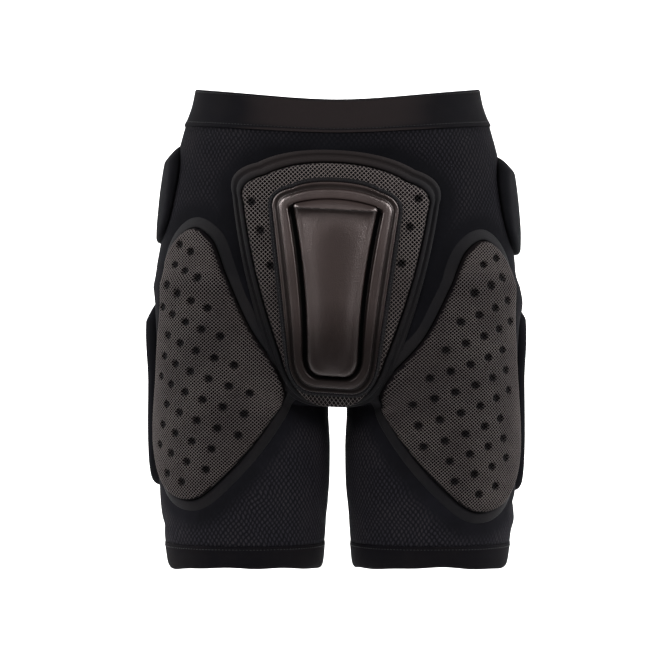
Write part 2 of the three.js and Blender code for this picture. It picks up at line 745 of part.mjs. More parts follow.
const body = bodyFilled.subtract(bodyHollow);
addPart("mesh_shorts", body, "knit");
addPart("waistband", waistband(), "elastic");
for (const side of SIDES) addPart(`hem_${side.name}`, hem(side), "elastic");

const frontLoopAt = (inset) => keystoneLoop(drawnIn(FRONT_PAD, inset, inset < 0 ? FRONT_BORDER.toeShare : 1));
const frontPad = padBlock(frontLoopAt, onFront, FRONT_PAD_THICKNESS, 0).subtract(bodyGrown);
const frontPadGrown = padBlock(frontLoopAt, onFront, FRONT_PAD_THICKNESS, CLEARANCE);
const frontPlugs = FRONT_HOLES.flatMap(({ out, down }) => {
  const [u, v] = [out * FRONT_PAD.topWidth, FRONT_PAD.top - down * FRONT_PAD.height];
  return [-u, u].map((across) => holePlug(onFront, across, v + HOLE_RISE * across, FRONT_PAD_THICKNESS));
});
const frontBorder = borderBlock(frontLoopAt, onFront, FRONT_BORDER.width, FRONT_BORDER.height);
// Everything under the front pad and its border, kept clear of the thigh pads.
const frontZone = padBlock(
  (inset) => frontLoopAt(inset - FRONT_BORDER.width - 2 * BORDER_GAP),
  onFront,
  FRONT_PAD_THICKNESS,
  CLEARANCE,
);
addPart("front_pad", punched(frontPad, frontPlugs), "net");
addPart("front_pad_border", frontBorder.subtract(bodyGrown), "binding");
addPart("guard_shell", guardBlock().subtract(frontPadGrown), "shell");
addPart("guard_binding", bindingBlock().subtract(frontPadGrown), "binding");

for (const side of SIDES) {
  const thighLoopAt = (inset) => movedIn(thighLoop(THIGH_PAD, side.corner), inset);
  const onThigh = onSide(side, THIGH_PAD);
  const thigh = padBlock(thighLoopAt, onThigh, THIGH_PAD.thickness, 0).subtract(bodyGrown);
  const border = borderBlock(thighLoopAt, onThigh, THIGH_BORDER.width, THIGH_BORDER.height);
  addPart(`thigh_pad_${side.name}`, thigh.subtract(frontZone), "net");
  const kept = largest(border.subtract(bodyGrown).subtract(frontZone));
  addPart(`thigh_pad_border_${side.name}`, kept, "binding");
  for (const [name, pad] of Object.entries({ hip_pad: HIP_PAD, side_pad: SIDE_PAD })) {
    const place = wedged(onSide(side, pad), pad);
    const block = padBlock((inset) => movedIn(eggLoop(pad), inset), place, pad.thickness, 0);
    addPart(`${name}_${side.name}`, block.subtract(bodyGrown), "binding");
  }
}

export default parts;
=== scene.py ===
# %% [markdown]
# # Padded sports shorts
# A pair of shorts worn under sports clothes: a stretch knit body with foam pads under an open net, and a
# moulded guard on the front pad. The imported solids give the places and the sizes. This lesson lays a finer
# surface over each of them: first the knit body, then its bands, then the pads with their nets, and last the
# guard.

# %% Open the frame
import math

import bmesh
import bpy
import numpy as np
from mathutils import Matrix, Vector
from mathutils.bvhtree import BVHTree
from mathutils.geometry import delaunay_2d_cdt


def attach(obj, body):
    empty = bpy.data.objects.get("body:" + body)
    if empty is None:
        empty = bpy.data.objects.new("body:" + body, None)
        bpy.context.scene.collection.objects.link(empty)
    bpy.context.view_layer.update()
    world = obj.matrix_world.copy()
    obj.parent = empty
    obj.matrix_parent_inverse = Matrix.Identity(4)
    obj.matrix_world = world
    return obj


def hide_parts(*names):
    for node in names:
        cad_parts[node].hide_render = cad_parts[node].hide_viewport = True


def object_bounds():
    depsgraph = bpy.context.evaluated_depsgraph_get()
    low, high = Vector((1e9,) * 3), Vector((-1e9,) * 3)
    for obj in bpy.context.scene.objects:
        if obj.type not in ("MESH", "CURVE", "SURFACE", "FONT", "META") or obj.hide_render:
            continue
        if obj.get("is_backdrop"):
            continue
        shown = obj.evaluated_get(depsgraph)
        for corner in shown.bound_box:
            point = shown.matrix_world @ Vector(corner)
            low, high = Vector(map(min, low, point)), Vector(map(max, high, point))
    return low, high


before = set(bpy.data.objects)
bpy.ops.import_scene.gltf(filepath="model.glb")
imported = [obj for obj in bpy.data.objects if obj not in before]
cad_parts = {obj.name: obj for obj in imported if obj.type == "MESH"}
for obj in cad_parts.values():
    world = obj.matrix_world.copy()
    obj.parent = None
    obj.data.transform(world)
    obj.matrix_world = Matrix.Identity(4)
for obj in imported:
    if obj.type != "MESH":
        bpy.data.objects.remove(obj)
cad_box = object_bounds()
MM = 0.001
print("CAD box, mm:", [[round(c / MM) for c in corner] for corner in cad_box])

# %% [markdown]
# ## The body's form
# Hips and thighs are ovals that change with height, and they run into each other. A rule for that surface is
# better than a copied mesh: it can be asked for any point, as finely as a piece needs. The tables are the CAD
# source's own.

# %% Sizes of the body, in millimetres
HIP_HALF_WIDTH = 178.5
HIP_FRONT_DEPTH = 112
HIP_BACK_DEPTH = 124
THIGH_FRONT_DEPTH = 90
THIGH_BACK_DEPTH = 99
LEG_GAP = 17
CROTCH_DROP = 297
LEG_LENGTH = 155
WHOLE_DROP = CROTCH_DROP + LEG_LENGTH
RIM_SAG = 18.5
BACK_RIM_SAG = 12
SEAM_SAG = 14.5
BAND_HEIGHT = 37
HEM_HEIGHT = 20
BELOW_SEAM = 30
ABOVE_CROTCH = 37
GUARD_TOP_INSET = 14.5
GUARD_TOE_INSET = 11
HIP_PAD_DROP = 68.5
SEAM_DROP = BAND_HEIGHT - RIM_SAG + SEAM_SAG
SIDE_SEAM_DROP = BAND_HEIGHT - RIM_SAG
HEM_TOP = HEM_HEIGHT - WHOLE_DROP

HIP_SECTIONS = {
    "at": [-0.062, 0, 0.066, 0.12, 0.227, 0.335, 0.443, 0.604, 0.813, 1],
    "half": [0.79, 0.812, 0.8515, 0.877, 0.919, 0.955, 0.983, 0.995, 0.97, 0.83],
    "front": [0.86, 0.875, 0.91, 0.94, 0.98, 1, 1, 0.975, 0.93, 0.83],
    "back": [0.81, 0.825, 0.865, 0.9, 0.955, 0.985, 1, 1, 0.94, 0.83],
}
LEG_SECTIONS = {
    "at": [-1.1, -0.76, 0, 0.28, 0.535, 0.74, 0.94, 1],
    "outer": [0.978, 0.992, 1, 1, 0.994, 0.9776, 0.955, 0.947],
    "inner": [1, 1, 1.05, 0.88, 1, 1.35, 1.6, 1.7],
    "front": [1, 1.04, 1, 0.965, 0.93, 0.895, 0.86, 0.85],
    "back": [1.1, 1.1, 1, 0.95, 0.91, 0.87, 0.84, 0.83],
}
HIP_POWER = 2.3
LEG_POWER = 2.15
MERGE = 0.12
OUTSIDE = 1e6
THIGH_FADE = {"start": 0.6, "end": 0.36, "lift": 0.5}
UNDER = {"start": 0.79, "front_power": 5, "back_power": 3}


# %% The rule of the surface
def hermite(t):
    """The weights of a cubic's start, its start's slope, its end's slope and its end."""
    return 2 * t**3 - 3 * t**2 + 1, t**3 - 2 * t**2 + t, t**3 - t**2, 3 * t**2 - 2 * t**3


def smooth(table, at, column):
    """One column of a table at any height: a cubic through its rows, level past its ends."""
    xs, ys = np.array(table["at"]), np.array(table[column])
    last = len(xs) - 1
    before = np.maximum(np.arange(last + 1) - 1, 0)
    after = np.minimum(np.arange(last + 1) + 1, last)
    slopes = (ys[after] - ys[before]) / (xs[after] - xs[before])
    i = np.clip(np.searchsorted(xs, at, side="right") - 1, 0, last - 1)
    span = xs[i + 1] - xs[i]
    t = np.clip((at - xs[i]) / span, 0, 1)
    _, leave, arrive, end = hermite(t)
    rise = leave * slopes[i] + arrive * slopes[i + 1]
    return ys[i] + end * (ys[i + 1] - ys[i]) + span * rise


def sized(table, at, **lengths):
    """Columns of a table at a height, each times its length."""
    return [smooth(table, at, column) * length for column, length in lengths.items()]


def oval_level(x, y, half, front, back, power):
    """1 on the oval, less inside it, more outside it."""
    depth = np.where(y < 0, front, back)
    return (np.abs(x / half) ** power + np.abs(y / depth) ** power) ** (1 / power)


def leg_axis(z):
    at = (-z - CROTCH_DROP) / LEG_LENGTH
    outer, inner = sized(LEG_SECTIONS, at, outer=HIP_HALF_WIDTH, inner=LEG_GAP / 2)
    return (outer + inner) / 2, (outer - inner) / 2


def hip_level(x, y, z):
    at = -z / CROTCH_DROP
    under = np.clip((at - UNDER["start"]) / (1 - UNDER["start"]), 0, 1 - 1e-9)
    depths = {"half": HIP_HALF_WIDTH, "front": HIP_FRONT_DEPTH, "back": HIP_BACK_DEPTH}
    half, front, back = sized(HIP_SECTIONS, at, **depths)
    front, back = (
        depth * (1 - under**power) ** (1 / power)
        for depth, power in ((front, UNDER["front_power"]), (back, UNDER["back_power"]))
    )
    return np.where(at >= 1, OUTSIDE, oval_level(x, y, half, front, back, HIP_POWER))


def leg_level(x, y, z):
    at = (-z - CROTCH_DROP) / LEG_LENGTH
    middle, half = leg_axis(z)
    front, back = sized(LEG_SECTIONS, at, front=THIGH_FRONT_DEPTH, back=THIGH_BACK_DEPTH)
    fade = (-z / CROTCH_DROP - THIGH_FADE["start"]) / (THIGH_FADE["end"] - THIGH_FADE["start"])
    level = oval_level(x - middle, y, half, front, back, LEG_POWER)
    return level + THIGH_FADE["lift"] * np.clip(fade, 0, 1)


def body_level(x, y, z):
    hip, leg = hip_level(x, y, z), leg_level(x, y, z)
    near = np.maximum(MERGE - np.abs(hip - leg), 0) / MERGE
    return np.minimum(hip, leg) - near**2 * MERGE / 4


LONGEST_REACH = 1.6 * HIP_HALF_WIDTH
HALVINGS = 11
STRAIGHT_LINES = 3


def reach(x, y, z, dx, dy):
    """How far along a ray the surface lies, found from both ends."""
    shape = np.broadcast(x, y, z, dx, dy).shape
    near, far = np.zeros(shape), np.full(shape, LONGEST_REACH)
    level = lambda r: body_level(x + dx * r, y + dy * r, z) - 1
    below, above = np.full(shape, -1.0), np.full(shape, 1.0)
    for turn in range(HALVINGS + STRAIGHT_LINES):
        # Halving first, then straight lines between the two ends, which close in much faster.
        middle = (near + far) / 2 if turn < HALVINGS else near + (far - near) * below / (below - above)
        value = level(middle)
        within = value < 0
        near, below = np.where(within, middle, near), np.where(within, value, below)
        far, above = np.where(within, far, middle), np.where(within, above, value)
    return near + (far - near) * below / (below - above)


def skin(angle, z):
    """A point of the +X half: angle 0 is the leg's front, a quarter turn its outer side."""
    middle, _ = leg_axis(z)
    dx, dy = np.sin(angle), -np.cos(angle)
    r = reach(middle, 0.0, z, dx, dy)
    return np.stack([middle + r * dx, r * dy, z + 0 * r], axis=-1)


def front_skin(x, z):
    """A point of the surface as seen straight from the front."""
    r = reach(np.abs(x), 0.0, z, 0.0, -1.0)
    return np.stack([x + 0 * r, -r, z + 0 * r], axis=-1)


def unit(vectors):
    return vectors / np.linalg.norm(vectors, axis=-1, keepdims=True)


def normal_of(surface, u, v, across_step, up_step):
    across = surface(u + across_step, v) - surface(u - across_step, v)
    up = surface(u, v + up_step) - surface(u, v - up_step)
    return unit(np.cross(across, up))


def skin_normal(angle, z):
    return normal_of(skin, angle, z, across_step=0.01, up_step=1)


print("a thigh's outer side:", skin(np.array([math.pi / 2]), np.array([-300.0])).round(1))


# %% [markdown]
# ## From points to objects
# Every piece below ends as rows of points. A few helpers turn them into closed meshes with a map in
# millimetres, because a weave has to follow the cloth and keep its size on every piece.

# %% Helpers that make meshes
MAP = "cloth_mm"
NOISE_ROUGHNESS = 0.55
pieces = []


def linked(name, data):
    """A new object in the scene."""
    obj = bpy.data.objects.new(name, data)
    bpy.context.collection.objects.link(obj)
    return obj


def new_object(name, points, faces, finish, uv=None):
    """points in millimetres. uv: a map value for each corner of each face, in millimetres."""
    mesh = bpy.data.meshes.new(name)
    mesh.from_pydata([tuple(p) for p in np.asarray(points) * MM], [], faces)
    if uv is not None:
        layer = mesh.uv_layers.new(name=MAP)
        layer.data.foreach_set("uv", np.asarray(uv, dtype=np.float32).ravel())
    mesh.validate()
    mesh.polygons.foreach_set("use_smooth", [True] * len(mesh.polygons))
    if finish:
        mesh.materials.append(finish)
    return linked(name, mesh)


def keep(obj, nodes=()):
    """The piece rides on the one body and stands for CAD nodes, which it hides."""
    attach(obj, "root")
    if nodes:
        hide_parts(*nodes)
    pieces.append(obj)
    print(f"{obj.name}: {len(obj.data.vertices)} points, {len(obj.data.polygons)} faces")
    return obj


def weld(obj, merge, outward=False):
    work = bmesh.new()
    work.from_mesh(obj.data)
    bmesh.ops.remove_doubles(work, verts=work.verts, dist=merge * MM)
    if outward:
        bmesh.ops.recalc_face_normals(work, faces=work.faces)
    work.to_mesh(obj.data)
    work.free()
    return obj


def outwards(obj):
    """Welds doubled points and turns the faces of a closed mesh outwards."""
    return weld(obj, 0.01, True)


def strips(rows, count, closed):
    """Faces between rows of equal counts, each row a loop; closed joins the last row to the first."""
    return [
        (j * count + i, j * count + k, (j + 1) % rows * count + k, (j + 1) % rows * count + i)
        for j in range(rows if closed else rows - 1)
        for i, k in ((i, (i + 1) % count) for i in range(count))
    ]


def ring(name, loops, finish):
    """A closed ring through loops of equal counts: each row is one loop round the piece."""
    loops = np.asarray(loops)
    rows, count = loops.shape[:2]
    step = np.linalg.norm(loops - np.roll(loops, 1, axis=0), axis=-1).mean(axis=1)
    across = np.concatenate([[0], np.cumsum(step[1:]), [step.sum()]])
    lengths = np.linalg.norm(np.roll(loops[0], -1, axis=0) - loops[0], axis=-1)
    along = np.concatenate([[0], np.cumsum(lengths)])
    uv = [
        (along[i + di], across[j + dj])
        for j in range(rows)
        for i in range(count)
        for di, dj in ((0, 0), (1, 0), (1, 1), (0, 1))
    ]
    return outwards(new_object(name, loops.reshape(-1, 3), strips(rows, count, True), finish, uv))


def rounded(profile, rounds=2):
    """Cuts the corners of an open profile, so a moulded edge turns softly."""
    profile = np.asarray(profile, dtype=float)
    for _ in range(rounds):
        near = profile[:-1] * 0.75 + profile[1:] * 0.25
        far = profile[:-1] * 0.25 + profile[1:] * 0.75
        middle = np.stack([near, far], axis=1).reshape(-1, profile.shape[1])
        profile = np.concatenate([profile[:1], middle, profile[-1:]])
    return profile


def line_object(name, points, edges):
    """An object of bare lines, for a node tree to thicken or to set stitches along."""
    mesh = bpy.data.meshes.new(name)
    mesh.from_pydata([tuple(p) for p in np.asarray(points) * MM], edges, [])
    return linked(name, mesh)


def paint(mesh, name, values):
    """Keeps one value for each point, for a material to read."""
    layer = mesh.attributes.new(name, "FLOAT", "POINT")
    layer.data.foreach_set("value", np.asarray(values, dtype=np.float32))


def apply_modifiers(obj):
    """Turns the evaluated object into a plain mesh and drops its modifiers."""
    evaluated = obj.evaluated_get(bpy.context.evaluated_depsgraph_get())
    mesh = bpy.data.meshes.new_from_object(evaluated)
    mesh.name = obj.name
    obj.modifiers.clear()
    obj.data = mesh
    return obj


# %% [markdown]
# ## Finishes
# The whole garment is black, so the finishes differ by what light does on them: matt knit with small
# openings, a tight elastic weave, a pale open net over dark foam, and a satin moulded shell. Effects that
# several finishes share, such as the weave and the faint fluff, are node groups with inputs, so each finish
# sets its own scale.


# %% Helpers that build node trees
def new_group(name, inputs, outputs, kind="ShaderNodeTree"):
    tree = bpy.data.node_groups.new(name, kind)
    for label, socket, value in inputs:
        item = tree.interface.new_socket(name=label, in_out="INPUT", socket_type=socket)
        if value is not None:
            item.default_value = value
    for label, socket in outputs:
        tree.interface.new_socket(name=label, in_out="OUTPUT", socket_type=socket)
    return tree, tree.nodes.new("NodeGroupInput").outputs, tree.nodes.new("NodeGroupOutput").inputs


def put(tree, socket, value):
    """Links a socket to a socket, or sets it to a plain value."""
    if isinstance(value, bpy.types.NodeSocket):
        tree.links.new(value, socket)
    elif value is not None:
        socket.default_value = value


def new_node(tree, kind, settings=None, **inputs):
    """A node with its settings and its named inputs."""
    node = tree.nodes.new(kind)
    for label, value in (settings or {}).items():
        setattr(node, label, value)
    for label, value in inputs.items():
        put(tree, node.inputs[label.replace("_", " ")], value)
    return node


def math_node(tree, operation, *values):
    node = new_node(tree, "ShaderNodeMath", {"operation": operation})
    for socket, value in zip(node.inputs, values):
        put(tree, socket, value)
    return node.outputs[0]


def times(tree, a, b):
    return math_node(tree, "MULTIPLY", a, b)


def ramp(tree, value, low, high, to_low=0.0, to_high=1.0):
    """A smooth step of a value between two limits."""
    node = new_node(tree, "ShaderNodeMapRange", {"interpolation_type": "SMOOTHSTEP"})
    for socket, number in zip(node.inputs[:5], (value, low, high, to_low, to_high)):
        put(tree, socket, number)
    return node.outputs[0]


def noise(tree, vector, scale, detail=3.0):
    return new_node(
        tree, "ShaderNodeTexNoise", Vector=vector, Scale=scale, Detail=detail, Roughness=NOISE_ROUGHNESS
    ).outputs["Fac"]


def mix(tree, share, first, second):
    node = new_node(tree, "ShaderNodeMix", {"data_type": "RGBA"})
    colours = [s for s in node.inputs if s.type == "RGBA"]
    for socket, value in zip((node.inputs[0], *colours), (share, first, second)):
        put(tree, socket, value)
    return [s for s in node.outputs if s.type == "RGBA"][0]


def parts_of(tree, vector):
    return new_node(tree, "ShaderNodeSeparateXYZ", Vector=vector).outputs


def painted(tree, name):
    """A value painted on the mesh's points."""
    return new_node(tree, "ShaderNodeAttribute", {"attribute_name": name}).outputs["Fac"]


def place_group(tree, group, **values):
    return new_node(tree, "ShaderNodeGroup", {"node_tree": group}, **values).outputs


def rgb(hex_code):
    """A display colour as the linear values that shaders take."""
    parts = [int(hex_code[i : i + 2], 16) / 255 for i in (0, 2, 4)]
    linear = [p / 12.92 if p <= 0.04045 else ((p + 0.055) / 1.055) ** 2.4 for p in parts]
    return (*linear, 1.0)


# %% [markdown]
# ### Shared effects
# The air mesh is a brick pattern of small ovals, drawn with plain arithmetic on the map, because an image
# would not keep its size. The weave is two crossed waves. Fluff is slow noise that lifts the black a little,
# as lint does.


# %% The air mesh's ovals
def shader_group(name, numbers, outputs):
    """A group on a vector, with named numbers as its other inputs."""
    vector, value = "NodeSocketVector", "NodeSocketFloat"
    inputs = [("Place", vector, None)] + [(label, value, number) for label, number in numbers.items()]
    return new_group(name, inputs, [(label, value) for label in outputs])


def make_oval_mesh():
    sizes = {"Width": 4.8, "Height": 6.8, "Oval Width": 0.25, "Oval Height": 0.27}
    tree, given, out = shader_group("oval mesh", sizes, ["Opening"])
    parts = parts_of(tree, given["Place"])
    wobble = times(tree, noise(tree, given["Place"], 0.04, 2.0), 1.6)
    u, v = (
        math_node(tree, "ADD", math_node(tree, "DIVIDE", part, given[label]), wobble)
        for part, label in zip(parts, ("Width", "Height"))
    )

    def oval(shift):
        """How far a point is from the middle of its oval, 1 at the edge."""
        squares = []
        for value, size in ((u, given["Oval Width"]), (v, given["Oval Height"])):
            share = math_node(tree, "FRACT", math_node(tree, "ADD", value, shift))
            share = math_node(tree, "DIVIDE", math_node(tree, "SUBTRACT", share, 0.5), size)
            squares.append(times(tree, share, share))
        return math_node(tree, "ADD", *squares)

    nearest = math_node(tree, "MINIMUM", oval(0.0), oval(0.5))
    put(tree, out["Opening"], ramp(tree, nearest, 1.5, 0.35))
    return tree


# %% The tight weave
def make_weave():
    tree, given, out = shader_group("tight weave", {"Along": 1.2, "Across": 1.0}, ["Thread"])
    waves = []
    for part, label in zip(parts_of(tree, given["Place"]), ("Along", "Across")):
        turns = math_node(tree, "DIVIDE", times(tree, part, 2 * math.pi), given[label])
        waves.append(math_node(tree, "SINE", turns))
    put(tree, out["Thread"], math_node(tree, "MULTIPLY_ADD", times(tree, *waves), 0.5, 0.5))
    return tree


# %% Fluff and wear
def make_fluff():
    tree, given, out = shader_group("fluff", {"Scale": 40.0}, ["Cloud"])
    put(tree, out["Cloud"], ramp(tree, noise(tree, given["Place"], given["Scale"], 4.0), 0.35, 0.72))
    return tree


# %% Fine grain of the moulded shell
def make_grain():
    tree, given, out = shader_group("pressed grain", {"Scale": 900.0}, ["Pebble"])
    settings = {"feature": "SMOOTH_F1"}
    cells = new_node(tree, "ShaderNodeTexVoronoi", settings, Vector=given["Place"], Scale=given["Scale"])
    soft = noise(tree, given["Place"], times(tree, given["Scale"], 0.4), 4.0)
    put(tree, out["Pebble"], math_node(tree, "ADD", cells.outputs["Distance"], times(tree, soft, 0.7)))
    return tree


OVALS, WEAVE, FLUFF, GRAIN = make_oval_mesh(), make_weave(), make_fluff(), make_grain()
print("shared effects:", [group.name for group in (OVALS, WEAVE, FLUFF, GRAIN)])


# %% [markdown]
# ### The materials
# Each finish is one Principled shader. Its plain numbers, such as sheen, sit on the shader's own sockets.


# %% A helper that starts a material
def new_material(name, specular=0.5, **numbers):
    """Gives the material, its tree, its shader, the map in millimetres, and the place in the garment."""
    material = bpy.data.materials.new(name)
    material.use_nodes = True
    tree = material.node_tree
    shader = tree.nodes["Principled BSDF"]
    numbers["Specular_IOR_Level"] = specular
    for label, value in numbers.items():
        shader.inputs[label.replace("_", " ")].default_value = value
    flat = new_node(tree, "ShaderNodeUVMap", {"uv_map": MAP}).outputs["UV"]
    place = new_node(tree, "ShaderNodeTexCoord").outputs["Object"]
    return material, tree, shader, flat, place


def bump(tree, shader, height, distance, strength):
    node = new_node(tree, "ShaderNodeBump", Distance=distance, Strength=strength, Height=height)
    put(tree, shader.inputs["Normal"], node.outputs["Normal"])


def clouded(tree, place, scale, dark, light):
    """Two near shades, mixed by the slow fluff."""
    return mix(tree, place_group(tree, FLUFF, Place=place, Scale=scale)["Cloud"], rgb(dark), rgb(light))


def height_ramp(tree, place, *limits):
    """A smooth step by the height in the garment, in metres."""
    return ramp(tree, parts_of(tree, place)[2], *limits)


# %% Air mesh knit of the body
def make_knit():
    material, tree, shader, flat, place = new_material("knit", 0.02, Roughness=0.92, Sheen_Weight=0.004)
    shader.inputs["Sheen Tint"].default_value = rgb("8A8A92")
    opening = place_group(tree, OVALS, Place=flat)["Opening"]
    opening = times(tree, opening, math_node(tree, "SUBTRACT", 1.0, painted(tree, "plain")))
    thread = place_group(tree, WEAVE, Place=flat, Along=1.5, Across=1.1)["Thread"]
    base = mix(tree, times(tree, thread, 0.25), clouded(tree, place, 26.0, "08080A", "0B0B0E"), rgb("101013"))
    colour = mix(tree, opening, base, clouded(tree, place, 26.0, "18171B", "1D1B1D"))
    # Painted shade: the knit is painted darker towards the top of the garment.
    colour = mix(tree, height_ramp(tree, place, -0.34, -0.18, 0.0, 0.4), colour, rgb("020203"))
    put(tree, shader.inputs["Base Color"], colour)
    height = math_node(tree, "SUBTRACT", times(tree, thread, 0.3), times(tree, opening, 0.8))
    bump(tree, shader, height, 0.0006, 0.7)
    return material


# %% Cloth of the bands, the borders and the plain covers
def make_cloth(name, shades, threads, pitches, bumps, fluff=22.0, upper=None, **numbers):
    """A tight cloth. shades: dark, light and thread. upper: the colour of a painted sheen or highlight, and
    the rule for where it shows.
    """
    material, tree, shader, flat, place = new_material(name, Sheen_Weight=0.004, **numbers)
    base = clouded(tree, place, fluff, *shades[:2])
    # Painted sheen or highlight: the upper colour is mixed in where its rule says.
    if upper:
        base = mix(tree, upper[1](tree, place), base, rgb(upper[0]))
    thread = place_group(tree, WEAVE, Place=flat, Along=pitches[0], Across=pitches[1])["Thread"]
    put(tree, shader.inputs["Base Color"], mix(tree, times(tree, thread, threads), base, rgb(shades[2])))
    bump(tree, shader, thread, *bumps)
    return material


def band_glow(tree, place):
    """Painted sheen: the waistband is painted lighter where it faces the camera, as light catches it there.
    """
    facing = new_node(tree, "ShaderNodeLayerWeight").outputs["Facing"]
    return times(tree, ramp(tree, facing, 0.18, 0.03), height_ramp(tree, place, -0.1, -0.03))


# Painted highlight: the binding is painted a lighter brown near the top of the garment, where the light from
# above catches it.
def top_glow(tree, place):
    return times(tree, height_ramp(tree, place, -0.088, -0.056), 0.6)


ELASTIC = make_cloth(
    "elastic", ("050507", "090809", "0E0D0F"), 0.35, (1.9, 1.3), (0.0003, 0.6), 18.0,
    ("1B1717", band_glow), specular=0.02, Roughness=0.85, Sheen_Tint=rgb("8F8884"),
)  # fmt: skip
BINDING = make_cloth(
    "binding", ("09090B", "0D0C0D", "131112"), 0.25, (1.2, 0.9), (0.0002, 0.4),
    upper=("1B1615", top_glow), specular=0.05, Roughness=0.75,
)  # fmt: skip
COVER = make_cloth(
    "cover_cloth", ("09090B", "0C0C0E", "0F0F12"), 0.3, (1.4, 1.0), (0.0003, 0.5),
    specular=0.02, Roughness=0.9,
)  # fmt: skip


# %% Foam, and the net thread over it
def make_foam():
    material, tree, shader, _, place = new_material("foam", 0.02, Roughness=0.9)
    put(tree, shader.inputs["Base Color"], clouded(tree, place, 30.0, "060506", "0A0808"))
    bump(tree, shader, noise(tree, place, 1400.0, 3.0), 0.0002, 0.5)
    return material


def make_net():
    material, tree, shader, _, place = new_material("net", 0.12, Roughness=0.6)
    colour = clouded(tree, place, 24.0, "3E3837", "4C4644")
    # Painted light: the net is painted lighter towards the top, where the light from above falls more
    # strongly.
    colour = mix(tree, times(tree, height_ramp(tree, place, -0.2, -0.06), 0.7), colour, rgb("605957"))
    # Painted shade over the holes, where the net sinks in; the net is also painted darker near the pad's
    # edge.
    colour = mix(tree, times(tree, painted(tree, "shade"), 0.95), colour, rgb("08080A"))
    put(tree, shader.inputs["Base Color"], colour)
    return material


# %% Satin of the moulded guard
def make_shell():
    material, tree, shader, _, place = new_material("shell")
    shader.inputs["Specular Tint"].default_value = rgb("FFF0EE")
    pebble = place_group(tree, GRAIN, Place=place, Scale=1100.0)["Pebble"]
    # Painted shade: the guard is painted darker and less glossy towards its bottom, which turns away from the
    # light above.
    lower = height_ramp(tree, place, -0.17, -0.25)
    # Painted shadow from values painted on the mesh: the grooves, the face under the bar and the bar itself
    # are painted darker and lose their gloss.
    groove = painted(tree, "groove")
    base = mix(tree, lower, clouded(tree, place, 14.0, "1D1513", "251B19"), rgb("0F0B0A"))
    base = mix(tree, ramp(tree, pebble, 0.5, 1.1, 0.0, 0.35), base, rgb("0E0B0C"))
    put(tree, shader.inputs["Base Color"], mix(tree, groove, base, rgb("030303")))
    gloss = times(tree, ramp(tree, lower, 0.0, 1.0, 0.78, 0.2), math_node(tree, "SUBTRACT", 1.0, groove))
    put(tree, shader.inputs["Specular IOR Level"], gloss)
    cloud = place_group(tree, FLUFF, Place=place, Scale=14.0)["Cloud"]
    put(tree, shader.inputs["Roughness"], ramp(tree, cloud, 0.0, 1.0, 0.32, 0.4))
    bump(tree, shader, pebble, 0.00025, 0.5)
    return material


# %% Sewing thread
def make_thread():
    material, tree, shader, _, place = new_material("sewing_thread", 0.1, Roughness=0.55)
    put(tree, shader.inputs["Base Color"], clouded(tree, place, 60.0, "0C0C0E", "141314"))
    return material


KNIT, FOAM, NET, SHELL, THREAD = make_knit(), make_foam(), make_net(), make_shell(), make_thread()
print("finishes:", [material.name for material in (KNIT, ELASTIC, BINDING, COVER, FOAM, NET, SHELL, THREAD)])


# %% [markdown]
# ## Where the pads lie
# Each pad has an outline in its own flat plane, u across and v up, and a rule that lays a flat point on the
# garment, h out of the cloth. Its foam, its net and its border all use the same outline and the same rule.

# %% The outlines
# crown: how far the top arches up. corner, toe: how round its corners are. bow: how far its sides bow out.
FRONT_PAD = {
    "top": -(SEAM_DROP + BELOW_SEAM),
    "height": CROTCH_DROP - SEAM_DROP - ABOVE_CROTCH,
    "top_width": 1.048 * HIP_HALF_WIDTH,
    "bottom_width": 0.426 * HIP_HALF_WIDTH,
} | {"crown": 15, "corner": 26, "toe": 42, "bow": 4.5}
GUARD = {
    "top": FRONT_PAD["top"] - GUARD_TOP_INSET,
    "height": FRONT_PAD["height"] - GUARD_TOP_INSET - GUARD_TOE_INSET,
    "top_width": 0.695 * FRONT_PAD["top_width"],
    "bottom_width": 1.08 * FRONT_PAD["bottom_width"],
} | {"crown": 8, "corner": 24, "toe": 28, "bow": 0.6}
THIGH_OUTLINE = {
    "across": [0.08, -0.05, -0.16, -0.3, -0.43, -0.47, -0.38, -0.13, 0.1, 0.34, 0.5, 0.44, 0.34, 0.31],
    "up": [0.497, 0.46, 0.32, 0.13, -0.03, -0.12, -0.22, -0.4, -0.5, -0.46, -0.3, -0.06, 0.19, 0.4],
    "pull": [0, 0, 0, 0.1, 0.8, 1, 0.85, 0.45, 0, 0, 0, 0, 0, 0],
}
THIGH_SIZE = (0.779 * HIP_HALF_WIDTH, 0.582 * WHOLE_DROP)


def bend(start, via, end, steps):
    """A quadratic curve from start to just before end."""
    t = np.linspace(0, 1, steps, endpoint=False)[:, None]
    start, via, end = (np.array(p, dtype=float) for p in (start, via, end))
    return (1 - t) ** 2 * start + 2 * t * (1 - t) * via + t**2 * end


KEYSTONE_STEPS = {"top": 26, "corner": 18, "side": 54, "toe": 18, "foot": 6}
# Where the curves of a keystone are pulled to, as shares of its half width, its corner and its toe
TOP_PULL, CORNER_PULL, TOE_PULL = 0.45, 0.25, 0.8
# How much of an inset a rounded corner loses, and the least that it keeps
CORNER_LOSS, LEAST_CORNER = 0.4, 4


